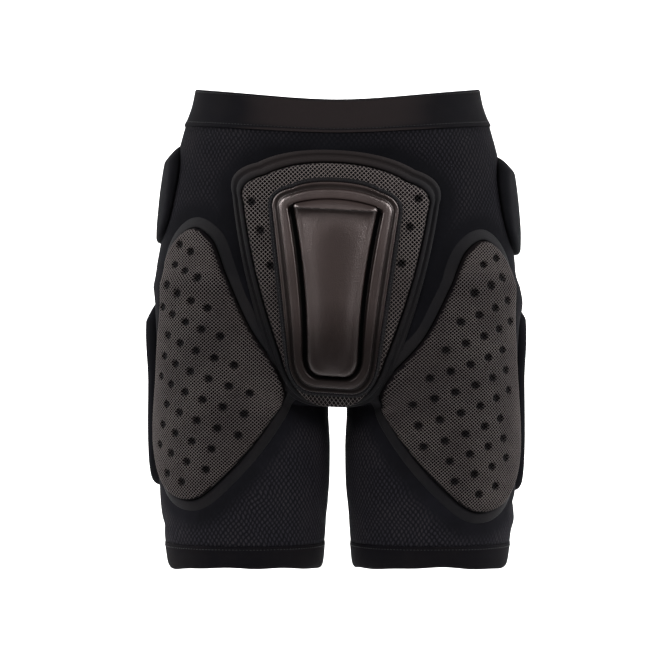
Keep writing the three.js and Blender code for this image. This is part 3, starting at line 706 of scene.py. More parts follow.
def keystone_loop(shape):
    wide, narrow = shape["top_width"] / 2, shape["bottom_width"] / 2
    shoulder, bottom = shape["top"] - shape["crown"], shape["top"] - shape["height"]
    corner, toe = shape["corner"], shape["toe"]
    lean = (wide - narrow) / (shape["height"] - shape["crown"])
    upper, lower = (wide - lean * corner, shoulder - corner), (narrow + lean * toe, bottom + toe)
    bowed = ((upper[0] + lower[0]) / 2 + 2 * shape["bow"], (upper[1] + lower[1]) / 2)
    top, start, foot = (0, shape["top"]), (wide - corner, shoulder), (narrow - toe * TOE_PULL, bottom)
    curves = {
        "top": (top, (wide * TOP_PULL, shape["top"]), start),
        "corner": (start, (wide, shoulder - corner * CORNER_PULL), upper),
        "side": (upper, bowed, lower),
        "toe": (lower, (narrow, bottom), foot),
        "foot": (foot, (foot[0] / 2, bottom), (0, bottom)),
    }
    half = np.concatenate([bend(*curve, KEYSTONE_STEPS[name]) for name, curve in curves.items()])
    other = half[1:][::-1] * [-1, 1]
    return np.concatenate([half, [[0, bottom]], other])


def drawn_in(shape, inset, toe_share=1.0):
    keep_corner = lambda radius: max(radius - inset * CORNER_LOSS, LEAST_CORNER)
    return {
        **shape,
        "top": shape["top"] - inset,
        "height": shape["height"] - inset * (1 + toe_share),
        "top_width": shape["top_width"] - 2 * inset,
        "bottom_width": shape["bottom_width"] - 2 * inset,
        "corner": keep_corner(shape["corner"]),
        "toe": keep_corner(shape["toe"]),
    }


STEPS_BETWEEN_POINTS = 24
THIGH_POINTS = 260


def spline_loop(points, count):
    """A closed curve through points, evenly spaced, with Hermite tangents weighted by distance."""
    points = np.asarray(points, dtype=float)
    n = len(points)
    gaps = np.linalg.norm(np.roll(points, -1, axis=0) - points, axis=1) ** 0.5
    fine = []
    start, leave, arrive, end = hermite(np.linspace(0, 1, STEPS_BETWEEN_POINTS, endpoint=False)[:, None])
    for i in range(n):
        p0, p1, p2, p3 = (points[(i + k) % n] for k in (-1, 0, 1, 2))
        d0, d1, d2 = gaps[(i - 1) % n], gaps[i], gaps[(i + 1) % n]
        m1 = (p1 - p0) / d0 - (p2 - p0) / (d0 + d1) + (p2 - p1) / d1
        m2 = (p2 - p1) / d1 - (p3 - p1) / (d1 + d2) + (p3 - p2) / d2
        fine.append(start * p1 + leave * m1 * d1 + end * p2 + arrive * m2 * d1)
    return respaced(np.concatenate(fine), count)


def respaced(loop, count):
    closed = np.concatenate([loop, loop[:1]])
    run = np.concatenate([[0], np.cumsum(np.linalg.norm(np.diff(closed, axis=0), axis=1))])
    at = np.linspace(0, run[-1], count, endpoint=False)
    return np.stack([np.interp(at, run, closed[:, k]) for k in range(closed.shape[1])], axis=1)


def thigh_loop(corner):
    across, up, pull = (np.array(THIGH_OUTLINE[key]) for key in ("across", "up", "pull"))
    points = np.stack([across * THIGH_SIZE[0] - pull * corner, up * THIGH_SIZE[1]], axis=1)
    return spline_loop(points, THIGH_POINTS)


EGG_POWER = 0.75


def egg_loop(width, length, taper, waist, count=200):
    turn = np.linspace(0, 2 * math.pi, count, endpoint=False)
    square = lambda value: np.sign(value) * np.abs(value) ** EGG_POWER
    up = square(np.sin(turn))
    draw = 1 + taper * up - waist * np.maximum(0, 1 - (2 * up) ** 2)
    return respaced(np.stack([square(np.cos(turn)) * draw * width / 2, up * length / 2], axis=1), count)


def moved_in(loop, inset):
    along = unit(np.roll(loop, -1, axis=0) - np.roll(loop, 1, axis=0))
    area = np.sum(loop[:, 0] * np.roll(loop[:, 1], -1) - np.roll(loop[:, 0], -1) * loop[:, 1])
    return loop + np.stack([-along[:, 1], along[:, 0]], axis=1) * inset * np.sign(area)


# %% The rules that lay them on the garment
# What differs between the sides: how far the thigh pad is lowered, turned, moved and drawn in, the thickness
# of the hip pad and of the outer pad, how softly the outer pad starts at its top, and how far it is raised.
SIDE_COLUMNS = ("sign", "drop", "turn", "shift", "corner", "hip", "outer", "ease", "raised")
SIDES = {
    "left": dict(zip(SIDE_COLUMNS, (-1, 0, 0, 0, 8, 12.5, 12, 24, 0))),
    "right": dict(zip(SIDE_COLUMNS, (1, 11.5, -0.04, -2, 15, 14.5, 9.5, 17, 6))),
}
ROUND = (HIP_HALF_WIDTH - LEG_GAP / 2) / 2
FRONT_SHIFT = -3.5
FRONT_LEAN = 0.05
FRONT_SWAY = 0.02
# Foam is stiff, so a pad follows the surface only on average over this many millimetres each way.
SPAN = 10.0


def on_front(flat, h):
    u, v = flat[..., 0], flat[..., 1]
    middle = FRONT_PAD["top"] - FRONT_PAD["height"] / 2
    x, z = FRONT_SHIFT + u + FRONT_SWAY * (v - middle), v - FRONT_LEAN * u
    return front_skin(x, z) + normal_of(front_skin, x, z, SPAN, SPAN) * np.asarray(h)[..., None]


def on_side(side, angle, middle):
    c, s = math.cos(side["turn"]), math.sin(side["turn"])

    def place(flat, h):
        u, v = flat[..., 0], flat[..., 1]
        turn = angle + (u * c - v * s + side["shift"]) / ROUND
        z = middle - side["drop"] + u * s + v * c
        points = skin(turn, z) + normal_of(skin, turn, z, SPAN / ROUND, SPAN) * np.asarray(h)[..., None]
        return points * [side["sign"], 1, 1]

    return place


# pitch: how far apart the threads of its net lie. ease: how far down its top reaches its whole thickness.
# wedge: the share of its thickness that it loses from its top to its bottom.
def pad_of(loop, place, thickness, **more):
    """A pad's outline, the rule that lays it, its thickness, and what only some pads have."""
    return {"loop": loop, "place": place, "thickness": thickness, **more}


PADS = {"front": pad_of(keystone_loop(FRONT_PAD), on_front, 10, pitch=2.83)}
HIP_EGG = egg_loop(0.56 * HIP_HALF_WIDTH, 97, 0.08, 0)
OUTER_EGG = egg_loop(0.493 * HIP_HALF_WIDTH, 0.42 * WHOLE_DROP, 0.05, 0.06)
for side_name, side in SIDES.items():
    thigh = on_side(side, 0.41, -0.563 * WHOLE_DROP)
    hip = on_side(side, math.pi / 2, -SIDE_SEAM_DROP - HIP_PAD_DROP)
    outer = on_side(side, 2.02, -0.628 * WHOLE_DROP + side["raised"])
    PADS |= {
        f"thigh_{side_name}": pad_of(thigh_loop(side["corner"]), thigh, 9.5, pitch=2.3),
        f"hip_{side_name}": pad_of(HIP_EGG, hip, side["hip"], wedge=0.55, ease=19),
        f"side_{side_name}": pad_of(OUTER_EGG, outer, side["outer"], ease=side["ease"]),
    }
print("pads:", list(PADS))


# %% [markdown]
# ## The knit body
# The body is one stretched sheet. Its rows run round the hips and then round each leg, closer together at the
# crotch, where the surface turns under. A short table of folds pushes the cloth in and out where it gathers.
# Near the sewn borders the mesh is pulled smooth, which a painted value called plain tells the knit finish.

# %% Rows of the body
COLUMNS = 120
INNER_SHARE = 0.2
SAG_POWER = 1.25
SEAM_ROWS = (-44, -50, -56)
HIP_ROWS_FROM, HIP_ROW_STEP, LEG_ROW_STEP = -62, 3.2, 3.0


def waist_line(side, front_sag, back_sag):
    def line(points):
        away = np.hypot(points[..., 0], points[..., 1])
        cosine = np.abs(points[..., 1]) / away
        return side - np.where(points[..., 1] < 0, front_sag, back_sag) * cosine**SAG_POWER

    return line


rim_line = waist_line(RIM_SAG, RIM_SAG, BACK_RIM_SAG)
seam_line = waist_line(RIM_SAG - BAND_HEIGHT, SEAM_SAG, BACK_RIM_SAG)


def row_angles(z):
    """Angles of a row's points: above the crotch from front to back, and below it all round a leg."""
    share = np.linspace(0, 1, COLUMNS + 1)
    middle, _ = leg_axis(np.array(z))
    if z > -CROTCH_DROP:
        front = reach(0.0, 0.0, np.array(z), 0.0, -1.0)
        back = reach(0.0, 0.0, np.array(z), 0.0, 1.0)
        start, end = math.atan2(-middle, front), math.pi + math.atan2(middle, back)
    else:
        start, end = -math.pi / 2, 1.5 * math.pi
    return np.interp(share, [0, INNER_SHARE, 1 - INNER_SHARE, 1], [start, 0, math.pi, end])


def body_row(z, line=None):
    angles = row_angles(z)
    heights = np.full_like(angles, z)
    if line is not None:
        heights = line(skin(angles, heights))
    return angles, heights


def crotch_heights():
    """Rows just above the crotch, spaced by how far the front still stands forward."""
    left = np.linspace(0.97, 0.03, 15)
    under = (1 - left ** UNDER["front_power"]) ** (1 / UNDER["front_power"])
    return -CROTCH_DROP * (UNDER["start"] + (1 - UNDER["start"]) * under)


def between(high, low, step):
    return list(np.linspace(high, low, max(2, round((high - low) / step))))


# Each fold's side, angle round the leg, height, tilt, length, width and how far it moves the cloth
FOLDS = [
    (-1, 1.62, -168, 0, 38, 28, 3.8), (1, 1.62, -195, 0, 34, 15, 4.5), (-1, -1.3, -405, 0.5, 22, 5, -1.8),
    (-1, -1.2, -388, 0.3, 26, 6, 1.2), (-1, 1.45, -415, -0.3, 30, 6, -1.4), (1, 1.5, -392, 0.2, 30, 6, -2.0),
    (1, 1.55, -412, -0.2, 32, 7, 1.5), (1, 0.2, -417, 0.05, 60, 5, 0.9), (-1, -0.15, -200, 1.15, 60, 6, 1.3),
    (1, -0.15, -215, 1.15, 60, 6, 1.3), (-1, 0.35, -62, 0.12, 55, 8, -0.9), (1, 0.3, -66, -0.1, 55, 8, -0.9),
    (-1, 2.6, -300, -0.35, 60, 8, -1.6), (1, 2.6, -300, -0.35, 60, 8, -1.6),
    (-1, 2.9, -286, -0.5, 45, 7, 1.0), (1, 2.9, -286, -0.5, 45, 7, 1.0),
]


def fold_lift(sign, angle, z):
    """How far the folds move the cloth: each is a long soft ridge or hollow."""
    lift = 0.25 * np.sin(z / 9 + 3 * np.sin(angle + sign)) * np.sin(angle * 4 + z / 37)
    for side, at, level, tilt, length, width, rise in FOLDS:
        if side == sign:
            u, v = (angle - at) * ROUND, z - level
            c, s = math.cos(tilt), math.sin(tilt)
            along, across = u * c + v * s, -u * s + v * c
            lift += rise * np.exp(-((along / length) ** 2) - (across / width) ** 2)
    edge = np.clip((z - HEM_TOP) / 6, 0, 1) * np.clip((-SEAM_DROP - 4 - z) / 10, 0, 1)
    return lift * edge


# %% The sheet of the body
CLOTH = 2.2


def half_body(sign):
    rows = [body_row(-BAND_HEIGHT, seam_line)]
    hips = between(HIP_ROWS_FROM, -CROTCH_DROP * UNDER["start"], HIP_ROW_STEP)
    legs = [-CROTCH_DROP - 0.02, -CROTCH_DROP - 0.6, *between(-CROTCH_DROP - 2, HEM_TOP + 0.2, LEG_ROW_STEP)]
    rows += [body_row(z) for z in [*SEAM_ROWS, *hips, *crotch_heights(), *legs]]
    angles, zs = (np.array(part) for part in zip(*rows))
    # The first rows keep the seam's sag and lose it on the way down.
    for row, share in ((1, 0.75), (2, 0.5), (3, 0.25)):
        zs[row] = zs[row] + (zs[0] - zs[0].mean()) * share
    points = skin(angles, zs)
    normals = skin_normal(angles, zs)
    middle = zs > -CROTCH_DROP
    for column in (0, -1):
        points[middle[:, column], column, 0] = 0
        normals[middle[:, column], column, 0] = 0
    lift = fold_lift(sign, angles, zs)
    # The inner column fades to nothing, so both halves still meet.
    fade = np.minimum(np.abs(points[..., 0]) / 12, 1)
    points = points + unit(normals) * (lift * np.where(middle, fade, 1))[..., None]
    return points * [sign, 1, 1], angles, zs


def grid_faces(rows, columns, base, flip):
    faces = []
    for j in range(rows - 1):
        for i in range(columns - 1):
            a, b = base + j * columns + i, base + (j + 1) * columns + i
            face = (a, b, b + 1, a + 1)
            faces.append(face[::-1] if flip else face)
    return faces


def row_map(points, angles):
    """The map of a half: length along the row from the leg's front line, and length down that line."""
    steps = np.linalg.norm(np.diff(points, axis=1), axis=-1)
    run = np.concatenate([np.zeros((len(points), 1)), np.cumsum(steps, axis=1)], axis=1)
    start = np.array([np.interp(0.0, row, length) for row, length in zip(angles, run)])
    column = int(COLUMNS * INNER_SHARE)
    down = np.linalg.norm(np.diff(points[:, column], axis=0), axis=-1)
    depth = np.concatenate([[0], np.cumsum(down)])
    return np.stack([run - start[:, None], np.broadcast_to(-depth[:, None], run.shape)], axis=-1)


all_points, all_faces, all_maps = [], [], []
for sign in (-1, 1):
    points, angles, zs = half_body(sign)
    rows, columns = points.shape[:2]
    faces = grid_faces(rows, columns, len(all_points) * rows * columns, sign < 0)
    all_points.append(points.reshape(-1, 3))
    all_maps.append(row_map(points, angles).reshape(-1, 2))
    all_faces += faces
body_points, body_maps = np.concatenate(all_points), np.concatenate(all_maps)
corners = np.array(all_faces).ravel()
shorts = new_object("shorts_body", body_points, all_faces, KNIT, body_maps[corners])
print("body sheet:", len(body_points), "points")


# %% Where the mesh is pulled smooth
FAR_OFF = 1e9
# The line round each pad where the cloth is pulled smooth, and how far from it that fades away
PULLED_OUT_TO = {"front": 16, "thigh_left": 13, "thigh_right": 13}
PULL_FADE = 13


def distance_to(loop_points, points):
    """Distance from many points to a loop in space, by its nearest sampled point."""
    nearest = np.full(len(points), FAR_OFF)
    for start in range(0, len(loop_points), 64):
        block = loop_points[start : start + 64]
        gap = np.linalg.norm(points[:, None, :] - block[None], axis=-1).min(axis=1)
        nearest = np.minimum(nearest, gap)
    return nearest


weld(shorts, 0.02)
places = np.array([v.co for v in shorts.data.vertices]) / MM
near = np.full(len(places), FAR_OFF)
for label, reach_out in PULLED_OUT_TO.items():
    outer = PADS[label]["place"](moved_in(PADS[label]["loop"], -reach_out), 0)
    near = np.minimum(near, distance_to(outer, places))
plain = np.clip(1.6 - near / PULL_FADE, 0, 1)
paint(shorts.data, "plain", plain)
wall = shorts.modifiers.new("wall", "SOLIDIFY")
wall.thickness = CLOTH * MM
wall.offset = -1
apply_modifiers(shorts)
keep(shorts, ["mesh_shorts"])
print("pulled smooth:", int((plain > 0.5).sum()), "points")

# %% [markdown]
# ## Waistband and hems
# Both are folded bands. A band is a closed profile carried round the opening, with a soft top edge and a
# small raised fold where it is sewn to the knit. Carrying a profile is easier to control than bending a flat
# strip.


# %% The waistband
def out_from_skin(angles, heights, out):
    """Points level with the skin's own, but further out by a length."""
    return skin(angles, heights) + unit(skin_normal(angles, heights) * [1, 1, 0]) * out


def band_loop(share, out):
    z = RIM_SAG / 2 - BAND_HEIGHT * share
    angles = row_angles(z)
    for_line = skin(angles, np.full_like(angles, z))
    heights = rim_line(for_line) + (seam_line(for_line) - rim_line(for_line)) * share
    points = out_from_skin(angles, heights, out)
    points[[0, -1], 0] = 0
    return np.concatenate([points, points[-2:0:-1] * [-1, 1, 1]])


BAND_PROFILE = [
    (0.5, -2.0), (0.06, -2.0), (0.0, -1.2), (0.0, 0.1), (0.04, 0.7), (0.2, 0.8), (0.55, 0.75), (0.86, 0.8),
    (0.92, 1.5), (0.985, 1.5), (1.0, 0.9), (1.0, -1.9), (0.5, -2.0),
]
band_rows = rounded(BAND_PROFILE)[:-1]
waistband = ring("waistband_cloth", [band_loop(share, out) for share, out in band_rows], ELASTIC)
keep(waistband, ["waistband"])


# %% The hems
HEM_PROFILE = [
    (0.5, -2.8), (0.02, -2.6), (0.0, -1.5), (0.0, 0.3), (0.08, 0.7), (0.4, 0.5), (0.75, 0.1), (0.9, -0.8),
    (0.98, -2.6), (1.0, -5.0), (0.95, -7.5), (0.85, -7.6), (0.72, -4.8), (0.5, -2.8),
]


def hem_loop(sign, down, out):
    z = HEM_TOP - down * HEM_HEIGHT
    angles = row_angles(z)[:-1]
    heights = np.full_like(angles, z)
    points = out_from_skin(angles, heights, out)
    wave = 0.5 * np.sin(angles * 5 + sign) + 0.4 * np.sin(angles * 9)
    points[:, 2] += (wave - 1.5 - 5 * np.sin(angles) ** 2) * down
    return points * [sign, 1, 1]


for side_name, side in SIDES.items():
    profile = rounded(HEM_PROFILE)[:-1]
    loops = [hem_loop(side["sign"], down, out) for down, out in profile]
    keep(ring(f"hem_cloth_{side_name}", loops, ELASTIC), [f"hem_{side_name}"])

# %% [markdown]
# ## Foam pads
# A pad is cut from foam sheet, pressed with rows of round holes and rounded at its edge. Its flat outline is
# filled with triangles that leave room for rings of points round every hole, so the holes stay round. A cloth
# panel, pinned at the outline and blown up a little, gives the gentle crown of the stretched cover.

# %% The rows of holes
HOLE_RADIUS = 3.9
HOLE_DEPTH = 5
# The thigh pad's rows from the top down: the first and the last hole of each.
HOLE_ROWS = [(0, 1), (0, 2), (0, 3), (0, 4), (1, 5), (1, 6), (1, 6), (2, 6), (2, 5), (2, 5), (3, 4)]
# Where hole i of row j lies: weights of 1, i, j, i*i, i*j and j*j. The cover stretches the rows a little.
HOLE_PLACES = {
    "left": [
        (21.9, 115.3), (-12.34, -7.08), (5.2, -20.23), (-0.337, 0.111), (-0.252, -0.132), (0.116, 0.05),
    ],
    "right": [
        (19.8, 114.2), (-13.88, -7.68), (4.98, -20.31), (-0.356, 0.184), (-0.014, -0.152), (0.047, 0.093),
    ],
}  # fmt: skip
# The front pad's holes: how far across, and how far up, from its outline's own middle line.
FRONT_HOLES = [(-78, -103.5), (-69.6, -130), (-59.5, -163), (76.6, -93), (69.4, -120.2), (62.4, -154.9)]


def inside(loop, points):
    """Which points lie inside a loop, by counting crossings."""
    x, y = points[:, 0][:, None], points[:, 1][:, None]
    a, b = loop, np.roll(loop, -1, axis=0)
    crosses = (a[:, 1] > y) != (b[:, 1] > y)
    with np.errstate(divide="ignore", invalid="ignore"):
        at = a[:, 0] + (y - a[:, 1]) * (b[:, 0] - a[:, 0]) / (b[:, 1] - a[:, 1])
    return (crosses & (x < at)).sum(axis=1) % 2 == 1


def thigh_holes(name):
    rows = enumerate(HOLE_ROWS)
    spots = np.array([(i, j) for j, (first, last) in rows for i in range(first, last + 1)], float)
    i, j = spots.T
    return np.stack([np.ones(len(i)), i, j, i * i, i * j, j * j], axis=1) @ np.array(HOLE_PLACES[name])


for label, pad in PADS.items():
    pad["holes"] = np.zeros((0, 2))
PADS["front"]["holes"] = np.array(FRONT_HOLES, float)
for side_name in SIDES:
    PADS[f"thigh_{side_name}"]["holes"] = thigh_holes(side_name)
    print(side_name, "thigh pad:", len(PADS[f"thigh_{side_name}"]["holes"]), "holes")


def hole_gap(pad, flat):
    """How far each flat point lies from the middle of the nearest hole."""
    return np.linalg.norm(flat[:, None] - pad["holes"], axis=-1).min(axis=1)


# %% Filling an outline with triangles
def lattice(loop, spacing):
    low, high = loop.min(axis=0), loop.max(axis=0)
    rows = np.arange(low[1], high[1], spacing * math.sqrt(3) / 2)
    columns = np.arange(low[0], high[0], spacing)
    return np.array([(u + (k % 2) * spacing / 2, v) for k, v in enumerate(rows) for u in columns])


def spots_inside(loop, spacing, inset):
    """The lattice spots that lie inside a loop by more than an inset."""
    spots = lattice(loop, spacing)
    return spots[inside(moved_in(loop, inset), spots)]


def fill(rings, spots):
    """Triangles over an outline, which is the first ring, through every ring and spot."""
    outline = rings[0]
    points = np.concatenate([*rings, spots]) if len(spots) else np.concatenate(rings)
    count = len(outline)
    edges = [(i, (i + 1) % count) for i in range(count)]
    made, _, faces, *_ = delaunay_2d_cdt([Vector(p) for p in points], edges, [], 1, 1e-4)
    return np.array([tuple(p) for p in made]), [tuple(face) for face in faces]


# %% A cover blown up over each pad
SWELL = 1.6
LAST_FRAME = 20


def blown_cover(label, loop):
    """A flat cloth panel, pinned round its outline and blown up, as a height for any flat point."""
    outline = respaced(loop, 90)
    flat, faces = fill([outline], spots_inside(loop, 8, 5))
    panel = new_object(f"panel_{label}", np.column_stack([flat, np.zeros(len(flat))]), faces, None)
    pinned = panel.vertex_groups.new(name="pinned")
    pinned.add(list(range(len(outline))), 1.0, "REPLACE")
    cloth = panel.modifiers.new("cover", "CLOTH")
    cloth.settings.vertex_group_mass = "pinned"
    cloth.settings.use_pressure = True
    cloth.settings.uniform_pressure_force = 4
    cloth.settings.effector_weights.gravity = 0
    scene = bpy.context.scene
    for number in range(1, LAST_FRAME + 1):
        scene.frame_set(number)
    bent = panel.evaluated_get(bpy.context.evaluated_depsgraph_get()).to_mesh()
    heights = np.abs(np.array([v.co.z for v in bent.vertices]) / MM)
    highest = max(heights.max(), 1e-6)
    risen = [(p[0], p[1], h / highest) for p, h in zip(flat, heights)]
    tree = BVHTree.FromPolygons(risen, faces)
    scene.frame_set(1)
    bpy.data.objects.remove(panel)
    print(f"{label}: cover rose {heights.max():.1f} mm, kept at {SWELL} mm")

    def swell(points):
        found = [tree.ray_cast(Vector((p[0], p[1], 9)), Vector((0, 0, -1)))[0] for p in points]
        return np.array([SWELL * hit.z if hit else 0.0 for hit in found])

    return swell


def edge_distance(loop, points):
    """How far inside a loop each point lies."""
    a, b = loop, np.roll(loop, -1, axis=0)
    along = b - a
    nearest = np.full(len(points), FAR_OFF)
    for start in range(0, len(points), 4000):
        p = points[start : start + 4000]
        t = np.clip(((p[:, None] - a) * along).sum(axis=-1) / (along**2).sum(axis=-1), 0, 1)
        gap = np.linalg.norm(p[:, None] - (a + along * t[..., None]), axis=-1).min(axis=1)
        nearest[start : start + 4000] = gap
    return nearest


make_cover = blown_cover
for label, pad in PADS.items():
    pad["swell"] = make_cover(label, pad["loop"])


# %% A pad's height at any flat point
EDGE = 5.5
EDGE_FOOT = 0.35
# Of the crown, this share lies below the pad's stated thickness.
SWELL_BELOW = 0.6
LEAST_EASE, EASE_POWER = 0.06, 0.8
HOLE_LIP, HOLE_WALL = 0.8, 2.0


def pad_height(pad, flat, hole_share=1.0):
    inward = np.clip(edge_distance(pad["loop"], flat) / EDGE, 0, 1)
    height = pad["thickness"] * (EDGE_FOOT + (1 - EDGE_FOOT) * np.sqrt(1 - (1 - inward) ** 2))
    height = height + (pad["swell"](flat) - SWELL * SWELL_BELOW) * inward
    if "ease" in pad:
        top, bottom = pad["loop"][:, 1].max(), pad["loop"][:, 1].min()
        height = height * np.clip((top - flat[:, 1]) / pad["ease"], LEAST_EASE, 1) ** EASE_POWER
        height = height * (1 - pad.get("wedge", 0) * (top - flat[:, 1]) / (top - bottom))
    if len(pad["holes"]):
        depth = np.clip((HOLE_RADIUS + HOLE_LIP - hole_gap(pad, flat)) / HOLE_WALL, 0, 1)
        height = height - hole_share * HOLE_DEPTH * depth**2 * (3 - 2 * depth)
    return height


# %% Building the foam
PAD_SPACING = 3.4
HOLE_RINGS = (5.4, 4.6, 3.9, 3.2, 2.4)
EDGE_RINGS = (0, 0.35, 1.0, 2.0, 3.4, 5.2)
ROUND_A_PAD, ROUND_A_HOLE = 240, 16
# How deep the underside lies in the cloth, and how far apart its points are
SUNK = -0.6
UNDER_SPACING = 16


def pad_mesh(label, pad):
    loop = respaced(pad["loop"], ROUND_A_PAD)
    rings = [moved_in(loop, inset) for inset in EDGE_RINGS]
    spots = spots_inside(loop, PAD_SPACING, 7)
    if len(pad["holes"]):
        spots = spots[hole_gap(pad, spots) > HOLE_RINGS[0] + 1.2]
        turn = np.linspace(0, 2 * math.pi, ROUND_A_HOLE, endpoint=False)
        circle = np.stack([np.cos(turn), np.sin(turn)], axis=1)
        dots = [hole + radius * circle for hole in pad["holes"] for radius in HOLE_RINGS]
        spots = np.concatenate([spots, *dots, pad["holes"]])
    flat, faces = fill(rings, spots)
    top = pad["place"](flat, pad_height(pad, flat))
    count, rim = len(flat), len(loop)
    foot = pad["place"](loop, np.full(rim, SUNK))
    under_flat, under_faces = fill([loop], spots_inside(loop, UNDER_SPACING, 8))
    under = pad["place"](under_flat, np.full(len(under_flat), SUNK))
    walls = [(i, count + i, count + (i + 1) % rim, (i + 1) % rim) for i in range(rim)]
    lower = [tuple(count + rim + i for i in face[::-1]) for face in under_faces]
    points = np.concatenate([top, foot, under])
    uv_of = np.concatenate([flat, loop, under_flat])
    all_of = [tuple(f) for f in faces] + walls + lower
    uv = uv_of[np.concatenate([np.array(f) for f in all_of])]
    return outwards(new_object(f"{label}_foam", points, all_of, FOAM if "pitch" in pad else COVER, uv))


for label, pad in PADS.items():
    node = "_pad_".join(label.split("_")) if "_" in label else f"{label}_pad"
    foam = keep(pad_mesh(label, pad), [node])

# %% [markdown]
# ## The net over the pads
# The cover is an open net of crossing threads. Lines are drawn in the pad's flat plane, one wave over and
# under at every crossing, laid on the foam, and then a node tree gives each line its thickness. A tree does
# this better than code: thread radius and sides stay two named inputs for all three pads.


# %% The node tree that thickens lines
def line_tree(name, numbers):
    """A tree that starts with the object's lines as curves. numbers: its named lengths and counts."""
    inputs = [("Geometry", "NodeSocketGeometry", None)]
    for label, number in numbers.items():
        inputs += [(label, "NodeSocketInt" if isinstance(number, int) else "NodeSocketFloat", number)]
    inputs += [("Finish", "NodeSocketMaterial", None)]
    tree, given, out = new_group(name, inputs, [("Geometry", "NodeSocketGeometry")], "GeometryNodeTree")
    curves = new_node(tree, "GeometryNodeMeshToCurve", Mesh=given["Geometry"]).outputs["Curve"]
    return tree, given, out, curves


def end_tree(tree, given, out, geometry):
    """Makes instances real, sets the finish and gives the result."""
    real = new_node(tree, "GeometryNodeRealizeInstances", Geometry=geometry)
    finish = new_node(
        tree, "GeometryNodeSetMaterial", Geometry=real.outputs["Geometry"], Material=given["Finish"]
    )
    put(tree, out["Geometry"], finish.outputs["Geometry"])
    return tree


def make_thread_tree():
    tree, given, out, curves = line_tree("threads along lines", {"Radius": 0.0003, "Sides": 4})
    sizes = {"Resolution": given["Sides"], "Radius": given["Radius"]}
    circle = new_node(tree, "GeometryNodeCurvePrimitiveCircle", **sizes)
    tube = new_node(tree, "GeometryNodeCurveToMesh", Curve=curves, Fill_Caps=True)
    put(tree, tube.inputs["Profile Curve"], circle.outputs["Curve"])
    return end_tree(tree, given, out, tube.outputs["Mesh"])


def with_tree(obj, tree, **values):
    """Runs a tree on an object with the given inputs and keeps the plain mesh."""
    modifier = obj.modifiers.new("tree", "NODES")
    modifier.node_group = tree
    for item in tree.interface.items_tree:
        label = item.name.replace(" ", "_")
        if item.item_type == "SOCKET" and item.in_out == "INPUT" and label in values:
            modifier[item.identifier] = values[label]
    return apply_modifiers(obj)


THREAD_TREE = make_thread_tree()


# %% Laying the lines of the net
# The net bridges the holes, and sinks into them by this share of their depth.
NET_SINK = 0.45
# A thread rises and falls by this much from crossing to crossing, and lies this far above the foam.
NET_WAVE, NET_LIFT = 0.12, 0.1
# The net is painted darker over a hole, as painted shade where it sinks in, and darker near its edge: how
# wide each shade is, and how deep the edge's is.
HOLE_SHADE, EDGE_SHADE, EDGE_DEPTH = 1.6, 3.5, 0.6


def net_lines(pad, sign):
    """Flat points of every line one way, as runs that stay inside the pad."""
    loop, pitch = pad["loop"], pad["pitch"]
    size = np.abs(loop - loop.mean(axis=0)).sum(axis=1).max()
    along = np.array([1, sign]) / math.sqrt(2)
    across = np.array([-sign, 1]) / math.sqrt(2)
    at = np.arange(-size, size, pitch / 2)
    limit = moved_in(loop, 0.7)
    runs = []
    for number, offset in enumerate(np.arange(-size, size, pitch)):
        line = loop.mean(axis=0) + across * offset + along * at[:, None]
        within = inside(limit, line)
        weave = np.where((np.arange(len(at)) + number + (sign > 0)) % 2, NET_WAVE, -NET_WAVE)
        breaks = np.flatnonzero(np.diff(within.astype(int))) + 1
        for part in np.split(np.arange(len(at)), breaks):
            if within[part[0]] and len(part) > 2:
                runs.append((line[part], weave[part]))
    return runs


def net_object(label, pad, radius):
    runs = net_lines(pad, 1) + net_lines(pad, -1)
    flat = np.concatenate([run for run, _ in runs])
    weave = np.concatenate([lift for _, lift in runs])
    if label == "front":
        hidden = inside(keystone_loop(drawn_in(GUARD, 3)), flat)
    else:
        hidden = np.zeros(len(flat), dtype=bool)
    points = pad["place"](flat, pad_height(pad, flat, NET_SINK) + NET_LIFT + weave)
    # Painted shade over each hole, and a darker band near the pad's edge.
    sunk = np.clip((HOLE_RADIUS + 0.7 - hole_gap(pad, flat)) / HOLE_SHADE, 0, 1)
    rim = np.clip(1 - edge_distance(pad["loop"], flat) / EDGE_SHADE, 0, 1)
    ends = np.cumsum([len(run) for run, _ in runs]) - 1
    goes_on = np.ones(len(flat), dtype=bool)
    goes_on[ends] = False
    edges = [(i, i + 1) for i in np.flatnonzero(goes_on) if not (hidden[i] or hidden[i + 1])]
    obj = line_object(f"{label}_net", points, edges)
    paint(obj.data, "shade", np.maximum(sunk, EDGE_DEPTH * rim))
    return with_tree(obj, THREAD_TREE, Radius=radius * MM, Sides=4, Finish=NET)


THREAD_SHARE = 0.09
for label, pad in PADS.items():
    if "pitch" in pad:
        keep(net_object(label, pad, THREAD_SHARE * pad["pitch"]))


# %% [markdown]
# ## Sewn borders
# Round each main pad runs a smooth border, a folded strip that is higher in its middle. It is a closed
# profile carried round the pad's outline with the same laying rule.


# %% The borders
def border(name, pad, loop_at, profile, node):
    rows = rounded(profile)[:-1]
    loops = [pad["place"](loop_at(-out), np.full(len(loop_at(0)), height)) for out, height in rows]
    return keep(ring(name, loops, BINDING), [node])


